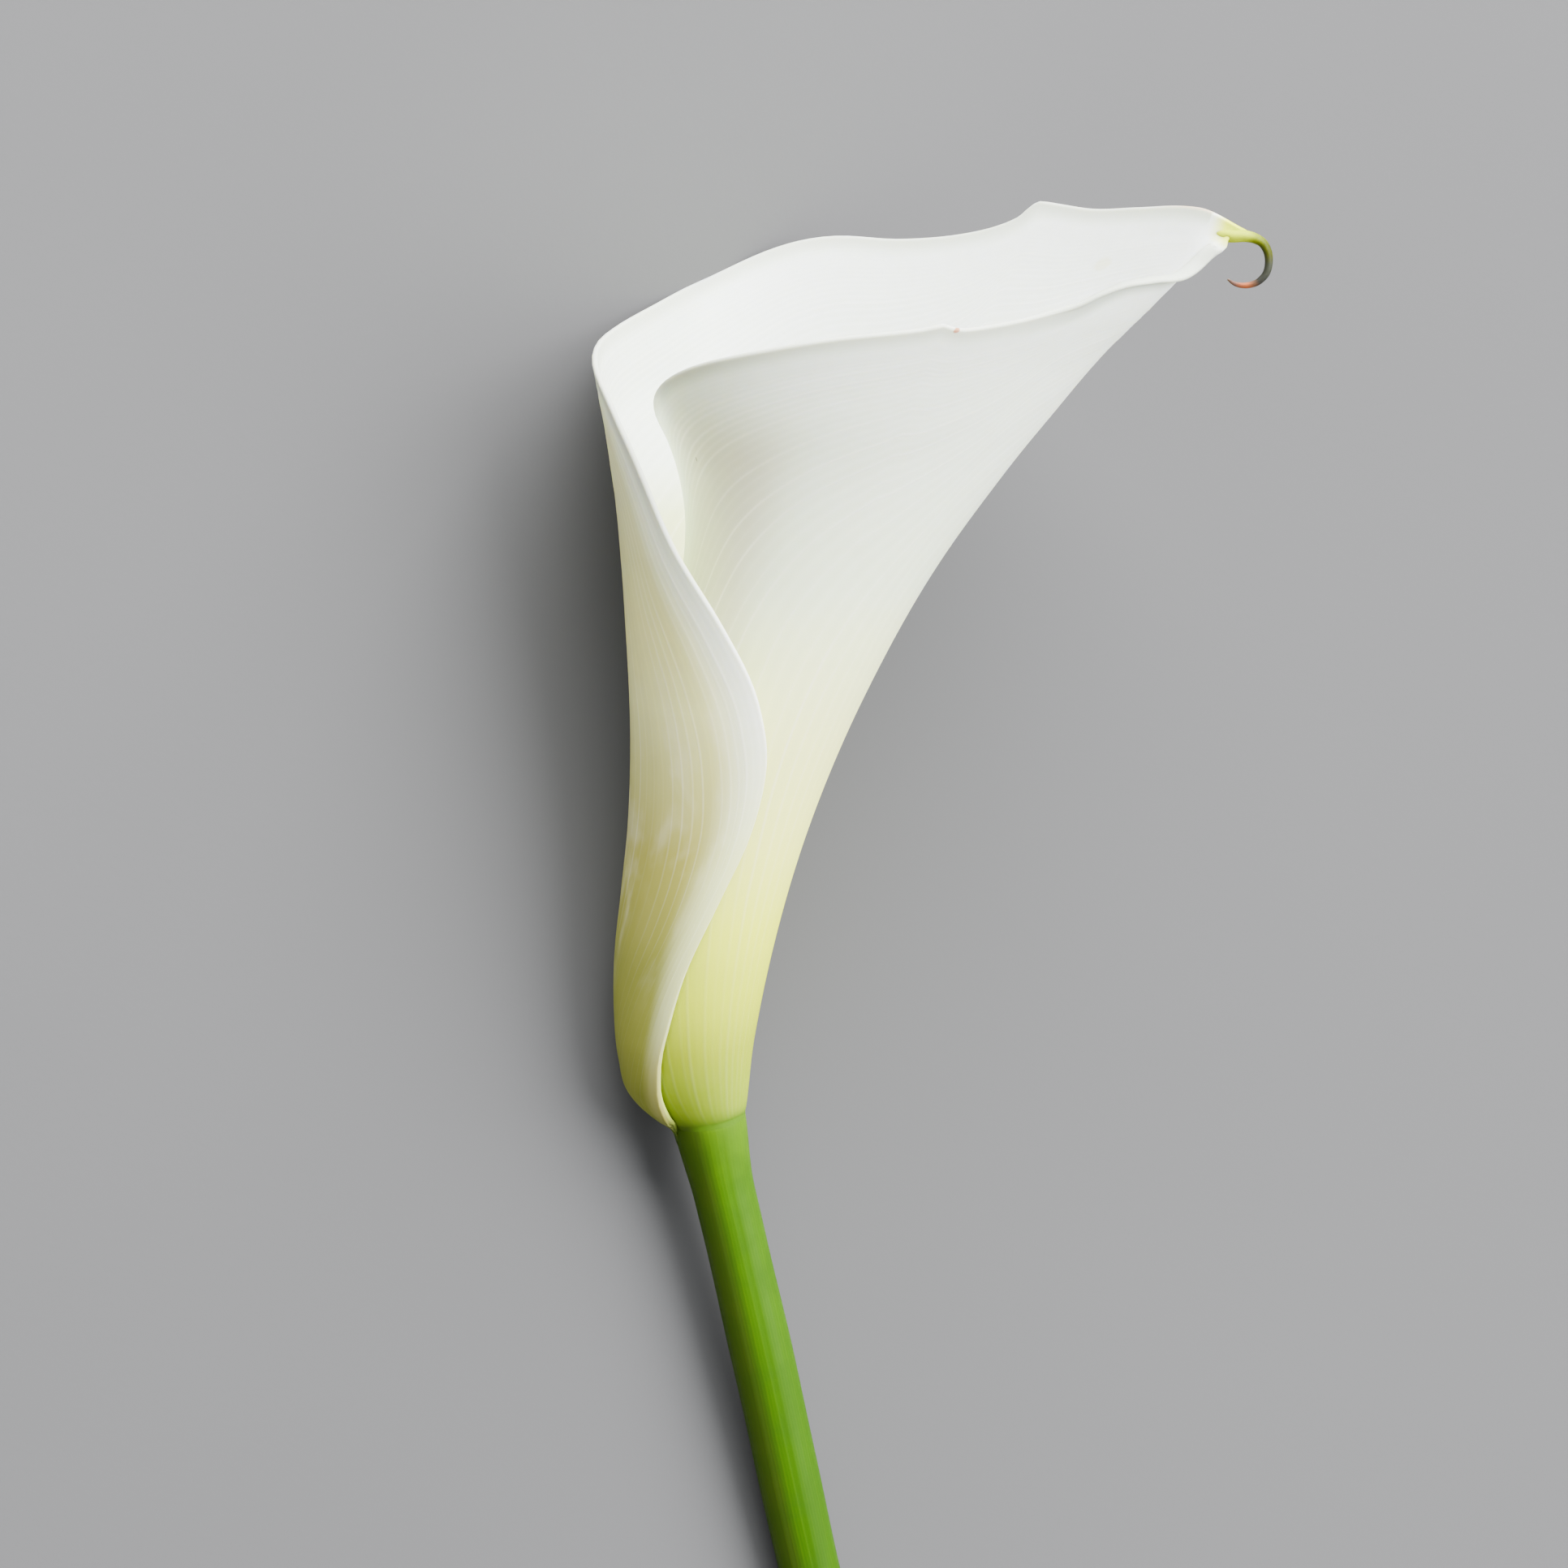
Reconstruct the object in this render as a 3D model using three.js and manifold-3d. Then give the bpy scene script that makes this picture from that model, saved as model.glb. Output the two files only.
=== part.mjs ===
import * as THREE from 'three';
import Module from 'manifold-3d';
import { mergeVertices } from 'three/addons/utils/BufferGeometryUtils.js';

// A cut calla lily flower, lying on its side. Millimetres, +Z up, +Y from the cut stem to the mouth.
// Each shape is worked out in the flower's own upright frame, x across, y up along the flower and
// z towards the side where the leaf's two edges overlap. The last group lays the flower down.

const wasm = await Module();
wasm.setup();

// Driving dimensions
const stemRadius = 4.25;
const stemTopRadius = 5;
const stemLength = 84;
const cutEdgeBevel = 0.4;
const plugRadius = 2.4;
const plugHeight = 4;
const fitGap = 0.3;
const leafThickness = 1.2;
const rimThickness = 0.75;
const outerFlapLift = 1.2;
const spadixRadius = 3.2;
const spadixTop = 74;
const ovaryZoneTop = 24;
const flatDepth = 0.4;
const lieDownPitch = THREE.MathUtils.degToRad(9.1);
const lieDownRoll = THREE.MathUtils.degToRad(-26.3);

// The white leaf is rolled into a funnel. Its outline over the height: where its left and right
// sides are, half its depth, how much its section narrows to the right, and how far the inner
// flap curls in from the wall.
const leftSide = [[-2, -5], [0, -6.6], [3, -9.2], [8, -11.5], [15, -12.6], [22, -12.7], [32, -11.8],
  [42, -10.8], [52, -10.4], [72, -11.1], [92, -12.8], [112, -16.3], [131, -21]];
const rightSide = [[-2, 4.8], [3, 4.8], [8, 5.1], [15, 6.3], [22, 7.9], [42, 13.8], [62, 22.1],
  [82, 33.7], [102, 49.2], [112, 58.5], [118, 64.1], [122, 68.7], [124.5, 72.2], [127, 73.7], [131, 75]];
const halfDepth = [[-2, 5], [0, 6], [3, 7.3], [8, 8.7], [22, 10.4], [42, 12.3], [62, 15.3], [82, 19.6],
  [102, 25.2], [122, 32], [131, 35.2]];
const eggShape = [[22, 0], [42, 0.05], [62, 0.15], [82, 0.26], [102, 0.38], [122, 0.48], [131, 0.52]];
const innerCurl = [[-2, 1.5], [48, 1.6], [58, 2.4], [68, 5.4], [80, 8.8], [90, 9.7], [97, 8.9],
  [103, 7.2], [112, 6.2], [131, 5.5]];

// The leaf's free edge, as angle round the funnel in degrees and height: up the inner flap, along
// the near rim to the tip at angle 0, back along the far rim and down the outer flap.
const freeEdge = [[196, 3], [210, 15], [216, 34], [211, 58], [202, 74], [193, 86], [183, 95],
  [170, 102.5], [152, 108], [133, 112], [115, 114.6], [95, 116.6], [75, 117.8], [64, 117.2],
  [53, 118.1], [41, 119.6], [30, 120.8], [17, 121.1], [9, 122.4], [5, 124.5], [0, 127.2],
  [-8, 128.9], [-18, 129.8], [-31, 130.2], [-48, 129.2], [-58, 128.4], [-65.5, 128.7],
  [-71, 125.4], [-86, 122.2], [-97, 122.5], [-126, 116.4], [-158, 110.7], [-186, 107.6],
  [-204, 102.2], [-229, 85.7], [-252, 74.8], [-275, 62.7], [-287, 53], [-288, 43], [-280, 34.4],
  [-264, 24], [-252, 12.5], [-239, 3.3]];
const baseStartAngle = 190;
const baseEndAngle = -215;
const baseSlope = 0.25;
const baseDrop = 0.8;
const edgeColumns = 80;
const leafRows = 25;

// Middle lines, [x, y] or [x, y, z]: the stem up to its shoulder, the spadix, and the leaf's tail.
const shoulderX = 0.5;
const plugTopX = 0.4;
const stemLine = [[18.2, -stemLength], [14.1, -65], [8.7, -38.6], [4.5, -19.6], [1.5, -6], [shoulderX, -1]];
const spadixLine = [[plugTopX, plugHeight + fitGap], [-0.8, 14], [-0.4, 26], [1.4, 42], [4.4, 60],
  [7.2, spadixTop]];
const tailLine = [[70.4, 128.3, 0], [73.2, 128, 0], [75.5, 127.5, 0], [77.2, 127.1, 0.1], [78.6, 126.2, 0.2],
  [79.2, 124.8, 0.4], [79.2, 123.1, 0.6], [78.5, 121.6, 0.8], [77.3, 120.7, 0.9], [75.8, 120.4, 1],
  [74.4, 120.8, 1.1], [73.5, 121.4, 1.1]];
const tailRadius = [[0, 0.8], [0.06, 1.5], [0.13, 1.6], [0.24, 1.1], [0.35, 0.82], [0.5, 0.7],
  [0.7, 0.6], [0.86, 0.5], [1, 0.38]];

const leafWhite = new THREE.MeshStandardMaterial({ color: 0xf1f1ea, roughness: 0.5, metalness: 0 });
const stemGreen = new THREE.MeshStandardMaterial({ color: 0x6f9a2c, roughness: 0.45, metalness: 0 });
const ovaryGreen = new THREE.MeshStandardMaterial({ color: 0xd3d58a, roughness: 0.6, metalness: 0 });
const antherYellow = new THREE.MeshStandardMaterial({ color: 0xf0c63a, roughness: 0.8, metalness: 0 });

function smoothStep(value) {
  return THREE.MathUtils.smoothstep(value, 0, 1);
}

// A smooth curve through [place, value] points, straight beyond both ends.
function smoothCurve(points) {
  const last = points.length - 1;
  const rise = (k) => (points[k + 1][1] - points[k][1]) / (points[k + 1][0] - points[k][0]);
  const slopes = points.map((point, k) => {
    if (k === 0 || k === last) return 0;
    const before = points[k][0] - points[k - 1][0];
    const after = points[k + 1][0] - points[k][0];
    return (rise(k - 1) * after + rise(k) * before) / (before + after);
  });
  slopes[0] = 1.5 * rise(0) - 0.5 * slopes[1];
  slopes[last] = 1.5 * rise(last - 1) - 0.5 * slopes[last - 1];
  return (place) => {
    let k = 0;
    while (k < last - 1 && place > points[k + 1][0]) k += 1;
    const width = points[k + 1][0] - points[k][0];
    const t = (place - points[k][0]) / width;
    if (t < 0) return points[k][1] + t * width * slopes[k];
    if (t > 1) return points[k + 1][1] + (t - 1) * width * slopes[k + 1];
    const a = t * t * (3 - 2 * t);
    const b = t * (1 - t) * (1 - t);
    const c = t * t * (1 - t);
    return points[k][1] * (1 - a) + points[k + 1][1] * a + width * (slopes[k] * b - slopes[k + 1] * c);
  };
}

const leftAt = smoothCurve(leftSide);
const rightAt = smoothCurve(rightSide);
const depthAt = smoothCurve(halfDepth);
const eggAt = smoothCurve(eggShape);
const curlAt = smoothCurve(innerCurl);

// A point on the middle of the leaf's thickness.
function leafPoint(angle, height) {
  const turn = THREE.MathUtils.degToRad(angle);
  const halfWidth = (rightAt(height) - leftAt(height)) / 2;
  const middle = (rightAt(height) + leftAt(height)) / 2;
  const depth = depthAt(height);
  const egg = Math.max(eggAt(height), 0);
  const curlIn = curlAt(height) * smoothStep((angle - 20) / 130);
  const liftOut = outerFlapLift * smoothStep((-angle - 180) / 100);
  const outward = new THREE.Vector3(Math.cos(turn) / halfWidth, 0, Math.sin(turn) / depth).normalize();
  const tipNarrowing = 1 - 0.5 * smoothStep((height - 116) / 12) * Math.max(Math.cos(turn), 0) ** 6;
  const x = middle + halfWidth * Math.cos(turn);
  const z = depth * Math.sin(turn) * (1 - egg * Math.cos(turn)) * tipNarrowing;
  return new THREE.Vector3(x, height, z).addScaledVector(outward, liftOut - curlIn);
}

// The leaf's free edge and its base as [angle, height] at a share from 0 to 1 of the way round.
function edgeCurves() {
  const anglePace = 0.3;
  const travelled = [0];
  for (let k = 1; k < freeEdge.length; k += 1) {
    const turned = (freeEdge[k][0] - freeEdge[k - 1][0]) * anglePace;
    travelled.push(travelled[k - 1] + Math.hypot(turned, freeEdge[k][1] - freeEdge[k - 1][1]));
  }
  const whole = travelled[travelled.length - 1];
  const edgeAngle = smoothCurve(freeEdge.map((point, k) => [travelled[k] / whole, point[0]]));
  const edgeHeight = smoothCurve(freeEdge.map((point, k) => [travelled[k] / whole, point[1]]));
  const tipShare = travelled[freeEdge.findIndex((point) => point[0] === 0)] / whole;
  const baseAngle = smoothCurve([[0, baseStartAngle], [tipShare / 2, 112], [tipShare, 0],
    [(1 + tipShare) / 2, -108], [1, baseEndAngle]]);
  return { edgeAngle, edgeHeight, baseAngle };
}

// The leaf's base slopes down to the left, and both of its ends rise off the stem.
function baseHeight(angle) {
  const slope = baseSlope * stemTopRadius * Math.cos(THREE.MathUtils.degToRad(angle));
  const innerRise = 0.5 * smoothStep((angle - 100) / 60);
  const outerRise = 0.035 * Math.max(-angle - 180, 0);
  return slope - baseDrop + innerRise + outerRise;
}

function leafGrid() {
  const { edgeAngle, edgeHeight, baseAngle } = edgeCurves();
  const grid = [];
  for (let i = 0; i <= edgeColumns; i += 1) {
    const share = i / edgeColumns;
    const column = [];
    for (let j = 0; j <= leafRows; j += 1) {
      const rise = (j / leafRows) ** 0.9;
      const angle = THREE.MathUtils.lerp(baseAngle(share), edgeAngle(share), rise);
      const height = THREE.MathUtils.lerp(baseHeight(baseAngle(share)), edgeHeight(share), rise);
      column.push(leafPoint(angle, height));
    }
    grid.push(column);
  }
  return grid;
}

// Square to the sheet, and level at its base, so that the base's cut edge stays even.
function gridNormal(grid, i, j) {
  const across = grid[Math.min(i + 1, edgeColumns)][j].clone().sub(grid[Math.max(i - 1, 0)][j]);
  const along = grid[i][Math.min(j + 1, leafRows)].clone().sub(grid[i][Math.max(j - 1, 0)]);
  const normal = across.cross(along);
  if (j === 0) normal.setY(0);
  return normal.normalize();
}

function meshGeometry(points, triangles) {
  const geometry = new THREE.BufferGeometry();
  const places = points.flatMap((point) => [point.x, point.y, point.z]);
  geometry.setAttribute('position', new THREE.Float32BufferAttribute(places, 3));
  geometry.setIndex(triangles);
  return geometry;
}

// Joins closed meshes into one.
function joined(...geometries) {
  const solids = geometries.map((geometry) => {
    const merged = mergeVertices(geometry, 1e-5);
    const vertProperties = new Float32Array(merged.attributes.position.array);
    const triVerts = new Uint32Array(merged.index.array);
    return new wasm.Manifold(new wasm.Mesh({ numProp: 3, vertProperties, triVerts }));
  });
  const mesh = solids.reduce((whole, solid) => whole.add(solid)).getMesh();
  const geometry = new THREE.BufferGeometry();
  geometry.setAttribute('position', new THREE.Float32BufferAttribute(mesh.vertProperties, 3));
  geometry.setIndex(Array.from(mesh.triVerts));
  return geometry;
}

// The direction that points up once the flower lies down, and what it rests on.
const layDown = new THREE.Quaternion().setFromEuler(new THREE.Euler(lieDownPitch, lieDownRoll, 0));
const upward = new THREE.Vector3(0, 0, 1).applyQuaternion(layDown.clone().invert());

// How far a point has to rise so that the flower rests on small flat spots.
function pressUp(point, restLevel) {
  return Math.max(restLevel - point.dot(upward), 0);
}

function leafLayers(restLevel) {
  const grid = leafGrid();
  const outer = [];
  const inner = [];
  grid.forEach((column, i) => column.forEach((middle, j) => {
    const thickness = THREE.MathUtils.lerp(leafThickness, rimThickness, j / leafRows);
    const normal = gridNormal(grid, i, j);
    const outside = middle.clone().addScaledVector(normal, thickness / 2);
    const inside = middle.clone().addScaledVector(normal, -thickness / 2);
    const pressed = pressUp(outside, restLevel);
    outer.push(outside.addScaledVector(upward, pressed));
    inner.push(inside.addScaledVector(upward, pressed));
  }));
  return { outer, inner };
}

function leafSheet(restLevel) {
  const { outer, inner } = leafLayers(restLevel);
  const step = leafRows + 1;
  const back = outer.length;
  const triangles = [];
  const face = (a, b, c, d) => triangles.push(a, b, c, a, c, d);
  for (let i = 0; i < edgeColumns; i += 1) {
    for (let j = 0; j < leafRows; j += 1) {
      const a = i * step + j;
      const b = a + step;
      face(a, b, b + 1, a + 1);
      triangles.push(back + a, back + b + 1, back + b, back + a, back + a + 1, back + b + 1);
    }
    const low = i * step;
    const high = low + leafRows;
    face(low + step, low, back + low, back + low + step);
    face(high, high + step, back + high + step, back + high);
  }
  for (let j = 0; j < leafRows; j += 1) {
    const end = edgeColumns * step + j;
    face(j, j + 1, back + j + 1, back + j);
    face(end + 1, end, back + end, back + end + 1);
  }
  return meshGeometry([...outer, ...inner], triangles);
}

// A ring of points square to a line that lies about in the x-y plane.
function ringAround(center, tangent, radius, sides) {
  const side = new THREE.Vector3(tangent.y, -tangent.x, 0).normalize();
  const across = side.clone().cross(tangent).normalize();
  return Array.from({ length: sides }, (unused, k) => {
    const turn = (2 * Math.PI * k) / sides;
    return center.clone().addScaledVector(side, radius * Math.cos(turn))
      .addScaledVector(across, radius * Math.sin(turn));
  });
}

// A closed body through rings of equally many points, with a flat cap on both ends.
function ringBody(rings) {
  const sides = rings[0].length;
  const points = rings.flat();
  const triangles = [];
  for (let k = 0; k < rings.length - 1; k += 1) {
    for (let s = 0; s < sides; s += 1) {
      const a = k * sides + s;
      const b = k * sides + ((s + 1) % sides);
      triangles.push(a, a + sides, b + sides, a, b + sides, b);
    }
  }
  const middleOf = (ring) => ring.reduce((sum, point) => sum.add(point), new THREE.Vector3())
    .divideScalar(sides);
  const topStart = (rings.length - 1) * sides;
  const bottomMiddle = points.push(middleOf(rings[0])) - 1;
  const topMiddle = points.push(middleOf(rings[rings.length - 1])) - 1;
  for (let s = 0; s < sides; s += 1) {
    const next = (s + 1) % sides;
    triangles.push(bottomMiddle, s, next, topMiddle, topStart + next, topStart + s);
  }
  return meshGeometry(points, triangles);
}

function lineThrough(points) {
  return new THREE.CatmullRomCurve3(points.map(([x, y, z = 0]) => new THREE.Vector3(x, y, z)));
}

// The leaf's tip ends in a thin green tail that hooks back under it.
function tail() {
  const line = lineThrough(tailLine);
  const radiusAt = smoothCurve(tailRadius);
  const steps = 22;
  const rings = [];
  for (let k = 0; k <= steps; k += 1) {
    const share = k / steps;
    rings.push(ringAround(line.getPointAt(share), line.getTangentAt(share), radiusAt(share), 8));
  }
  return ringBody(rings);
}

function spathe(restLevel) {
  return new THREE.Mesh(joined(leafSheet(restLevel), tail()), leafWhite);
}

// The stem ends below in a plain cut, and above in a sloping shoulder under the leaf's base with
// a plug that carries the spadix.
function stemRings() {
  const line = lineThrough(stemLine);
  const sides = 20;
  const steps = 16;
  const flareLength = 12;
  const topShare = 0.97;
  const rings = [ringAround(line.getPointAt(0), line.getTangentAt(0), stemRadius - cutEdgeBevel, sides)];
  for (let k = 0; k <= steps; k += 1) {
    const share = THREE.MathUtils.lerp(cutEdgeBevel / stemLength, topShare, k / steps);
    const flare = smoothStep(1 - ((1 - share) * stemLength) / flareLength);
    const radius = THREE.MathUtils.lerp(stemRadius, stemTopRadius, flare);
    rings.push(ringAround(line.getPointAt(share), line.getTangentAt(share), radius, sides));
  }
  const up = new THREE.Vector3(0, 1, 0);
  const shoulder = (radius) => ringAround(new THREE.Vector3(shoulderX, 0, 0), up, radius, sides)
    .map((point) => point.setY(baseSlope * point.x - baseDrop - 1.4 * fitGap));
  const plugTop = new THREE.Vector3(plugTopX, plugHeight, 0);
  rings.push(shoulder(stemTopRadius), shoulder(plugRadius), ringAround(plugTop, up, plugRadius, sides));
  return rings;
}

function stem(restLevel) {
  const rings = stemRings();
  rings.flat().forEach((point) => point.addScaledVector(upward, pressUp(point, restLevel)));
  return new THREE.Mesh(ringBody(rings), stemGreen);
}

// The same numbers on every run, between 0 and 1.
function seededNumbers(seed) {
  let state = seed;
  return () => {
    state = (state * 1664525 + 1013904223) % 4294967296;
    return state / 4294967296;
  };
}

// A spadix zone: florets in staggered rows round the core, each a raised diamond with a blunt top.
function floretZone({ start, end, perRow, rows, relief, top, nib, radiusAt, seed }) {
  const line = lineThrough(spadixLine);
  const draw = seededNumbers(seed);
  const points = [];
  const triangles = [];
  const places = 2 * perRow;
  const surface = (row, place, lift) => {
    const share = THREE.MathUtils.lerp(start, end, row / rows);
    const center = line.getPointAt(share);
    const tangent = line.getTangentAt(share);
    const side = new THREE.Vector3(tangent.y, -tangent.x, 0);
    const turn = (2 * Math.PI * place) / places;
    const radius = radiusAt(share) + lift;
    return center.addScaledVector(side, radius * Math.cos(turn))
      .add(new THREE.Vector3(0, 0, radius * Math.sin(turn)));
  };
  const valley = new Map();
  const valleyAt = (row, place) => {
    const key = `${row},${(place + places) % places}`;
    if (!valley.has(key)) valley.set(key, points.push(surface(row, place, 0)) - 1);
    return valley.get(key);
  };
  for (let row = 1; row < rows; row += 1) {
    for (let place = row % 2; place < places; place += 2) {
      const lift = relief * radiusAt(THREE.MathUtils.lerp(start, end, row / rows)) * (0.85 + 0.3 * draw());
      const corners = [[0, 1], [-1, 0], [0, -1], [1, 0]];
      const low = corners.map(([r, p]) => valleyAt(row + r, place + p));
      const high = corners.map(([r, p]) => points.push(surface(row + top * r, place + top * p, lift)) - 1);
      const middle = points.push(surface(row, place, lift * nib)) - 1;
      for (let k = 0; k < 4; k += 1) {
        const next = (k + 1) % 4;
        triangles.push(low[k], low[next], high[next], low[k], high[next], high[k]);
        triangles.push(high[k], high[next], middle);
      }
    }
  }
  const bottomMiddle = points.push(line.getPointAt(start)) - 1;
  const topMiddle = points.push(line.getPointAt(end)) - 1;
  for (let place = 1; place < places; place += 2) {
    triangles.push(valleyAt(0, place), valleyAt(1, place + 1), valleyAt(0, place + 2));
    triangles.push(bottomMiddle, valleyAt(0, place), valleyAt(0, place + 2));
  }
  for (let place = (rows - 1) % 2; place < places; place += 2) {
    triangles.push(valleyAt(rows, place), valleyAt(rows, place + 2), valleyAt(rows - 1, place + 1));
    triangles.push(topMiddle, valleyAt(rows, place + 2), valleyAt(rows, place));
  }
  return meshGeometry(points, triangles);
}

// The lower zone of the spadix, short and greenish: the ovaries.
function ovaryZone() {
  const share = (ovaryZoneTop - plugHeight) / (spadixTop - plugHeight);
  const shape = { start: 0, end: share, perRow: 8, rows: 9, relief: 0.2, top: 0.5, nib: 1.6, seed: 11 };
  const radiusAt = () => spadixRadius;
  return new THREE.Mesh(floretZone({ ...shape, radiusAt }), ovaryGreen);
}

// The upper zone, long and yellow with a round tip: the anthers.
function antherZone() {
  const start = (ovaryZoneTop + fitGap - plugHeight) / (spadixTop - plugHeight);
  const roundFrom = 0.94;
  const radiusAt = (share) => {
    const slim = THREE.MathUtils.lerp(spadixRadius + 0.1, spadixRadius - 0.5, share);
    const past = THREE.MathUtils.clamp((share - roundFrom) / (1 - roundFrom), 0, 0.94);
    return slim * Math.sqrt(1 - past * past);
  };
  const shape = { start, end: 1, perRow: 9, rows: 25, relief: 0.14, top: 0.6, nib: 1.15, seed: 23 };
  return new THREE.Mesh(floretZone({ ...shape, radiusAt }), antherYellow);
}

// The level on which the flower comes to rest, a little above its lowest point.
function findRestLevel() {
  const points = [...leafLayers(-Infinity).outer, ...stemRings().flat()];
  return Math.min(...points.map((point) => point.dot(upward))) + flatDepth;
}

const restLevel = findRestLevel();
const pieces = {
  spathe: spathe(restLevel),
  stem: stem(restLevel),
  spadix_ovaries: ovaryZone(),
  spadix_anthers: antherZone(),
};
const flower = new THREE.Group();
for (const [name, mesh] of Object.entries(pieces)) {
  mesh.name = name;
  flower.add(mesh);
}

// Laid down, with the middle of its underside at the origin.
flower.rotation.set(lieDownPitch, lieDownRoll, 0);
const box = new THREE.Box3().setFromObject(flower, true);
flower.position.set(-(box.min.x + box.max.x) / 2, -(box.min.y + box.max.y) / 2, -box.min.z);

export default flower;
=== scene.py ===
import math
import bpy
import numpy as np
from mathutils import Matrix, Vector


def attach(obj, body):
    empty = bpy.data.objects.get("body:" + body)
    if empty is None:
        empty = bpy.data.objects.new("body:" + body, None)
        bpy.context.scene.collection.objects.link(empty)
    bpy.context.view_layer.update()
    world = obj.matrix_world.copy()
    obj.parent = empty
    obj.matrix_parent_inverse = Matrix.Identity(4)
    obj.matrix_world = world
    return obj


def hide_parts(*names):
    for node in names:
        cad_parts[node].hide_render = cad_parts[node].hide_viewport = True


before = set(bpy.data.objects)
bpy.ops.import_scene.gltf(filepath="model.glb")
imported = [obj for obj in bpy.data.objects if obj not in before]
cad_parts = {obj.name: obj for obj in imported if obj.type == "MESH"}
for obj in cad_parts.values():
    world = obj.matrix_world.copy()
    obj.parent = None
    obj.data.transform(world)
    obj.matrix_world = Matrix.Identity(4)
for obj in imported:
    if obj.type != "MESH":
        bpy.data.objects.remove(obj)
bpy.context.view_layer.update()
print("frame loaded:", ", ".join(sorted(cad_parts)))

# Shapes are worked out in the upright flower, in millimetres: x across, y up from the leaf's
# base and z towards the side where its edges overlap. Then the flower is laid down on its side.
flower = {
    "pitch": 9.1,
    "roll": -26.3,
    "basePoint": (-27.19199, -21.05709, 9.12651),
    "mm": 0.001,
}

layDown = Matrix.Rotation(math.radians(flower["pitch"]), 3, "X") @ Matrix.Rotation(
    math.radians(flower["roll"]), 3, "Y")


def laidDown(points):
    # upright millimetres to metres on the floor
    turned = np.asarray(points, float) @ np.array(layDown).T
    return (turned + np.array(flower["basePoint"])) * flower["mm"]


# camera and light

view = {
    "elevation": 12,              # degrees above the upright flower's own level
    "aim": (11.04, 47.035, 20),   # right, up and towards the camera, mm
    "distance": 1000,
    "frameWidth": 222.18,         # mm at the aim point
    "sensorWidth": 36,
    "clip": (0.01, 50),           # m
}

studio = {
    "keyFrom": (0.24, 0.87, 0.43),     # right, up, towards the camera
    "keyPower": 124,
    "sideFrom": (0.85, 0.22, 0.48),
    "sidePower": 70,
    "lightDistance": 1.35,
    "lightSize": 1.5,
    "middle": (12, 50, 0),
    "skyTone": (0.97, 0.985, 1),
    "skyStrength": 1,
}


def cameraAxes():
    lift = math.radians(view["elevation"])
    right = Vector((1, 0, 0))
    up = Vector((0, math.cos(lift), -math.sin(lift)))
    back = Vector((0, math.sin(lift), math.cos(lift)))
    return right, up, back


def placeFacing(thing, spot, axes):
    right, up, back = [layDown @ axis for axis in axes]
    thing.matrix_world = Matrix((
        (right.x, up.x, back.x, spot[0]),
        (right.y, up.y, back.y, spot[1]),
        (right.z, up.z, back.z, spot[2]),
        (0, 0, 0, 1)))


def makeCamera():
    right, up, back = cameraAxes()
    aim = right * view["aim"][0] + up * view["aim"][1] + back * view["aim"][2]
    spot = laidDown([aim + back * view["distance"]])[0]
    data = bpy.data.cameras.new("viewCamera")
    data.sensor_width = view["sensorWidth"]
    data.lens = view["sensorWidth"] * view["distance"] / view["frameWidth"]
    data.clip_start, data.clip_end = view["clip"]
    camera = bpy.data.objects.new("viewCamera", data)
    bpy.context.scene.collection.objects.link(camera)
    placeFacing(camera, spot, (right, up, back))
    bpy.context.scene.camera = camera


def makeLight(name, fromSide, power):
    right, up, back = cameraAxes()
    way = (right * fromSide[0] + up * fromSide[1] + back * fromSide[2]).normalized()
    middle = Vector(laidDown([studio["middle"]])[0])
    data = bpy.data.lights.new(name, "AREA")
    data.shape = "DISK"
    data.size = studio["lightSize"]
    data.energy = power
    light = bpy.data.objects.new(name, data)
    bpy.context.scene.collection.objects.link(light)
    light.location = middle + (layDown @ way) * studio["lightDistance"]
    light.rotation_euler = (layDown @ way).to_track_quat("Z", "Y").to_euler()


def makeSky():
    world = bpy.data.worlds.new("softSky")
    world.use_nodes = True
    sky = world.node_tree.nodes["Background"]
    sky.inputs["Color"].default_value = (*studio["skyTone"], 1)
    sky.inputs["Strength"].default_value = studio["skyStrength"]
    bpy.context.scene.world = world


makeCamera()
makeSky()
makeLight("keyLight", studio["keyFrom"], studio["keyPower"])
makeLight("sideLight", studio["sideFrom"], studio["sidePower"])
print("camera and light are in place")


# shared helpers

def smoothStep(value, low=0.0, high=1.0):
    share = np.clip((np.asarray(value, float) - low) / (high - low), 0, 1)
    return share * share * (3 - 2 * share)


def smoothCurve(points):
    # a smooth curve through (place, value) points, straight beyond both ends
    places = np.array([point[0] for point in points], float)
    values = np.array([point[1] for point in points], float)
    widths = np.diff(places)
    rises = np.diff(values) / widths
    slopes = np.zeros(len(places))
    slopes[1:-1] = (rises[:-1] * widths[1:] + rises[1:] * widths[:-1]) / (widths[:-1] + widths[1:])
    slopes[0] = 1.5 * rises[0] - 0.5 * slopes[1]
    slopes[-1] = 1.5 * rises[-1] - 0.5 * slopes[-2]

    def at(place):
        place = np.asarray(place, float)
        k = np.clip(np.searchsorted(places, place) - 1, 0, len(widths) - 1)
        share = (place - places[k]) / widths[k]
        t = np.clip(share, 0, 1)
        blend = t * t * (3 - 2 * t)
        inside = values[k] * (1 - blend) + values[k + 1] * blend + widths[k] * (
            slopes[k] * t * (1 - t) ** 2 - slopes[k + 1] * t * t * (1 - t))
        before = np.where(share < 0, share * widths[k] * slopes[0], 0)
        after = np.where(share > 1, (share - 1) * widths[k] * slopes[-1], 0)
        return inside + before + after
    return at


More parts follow.
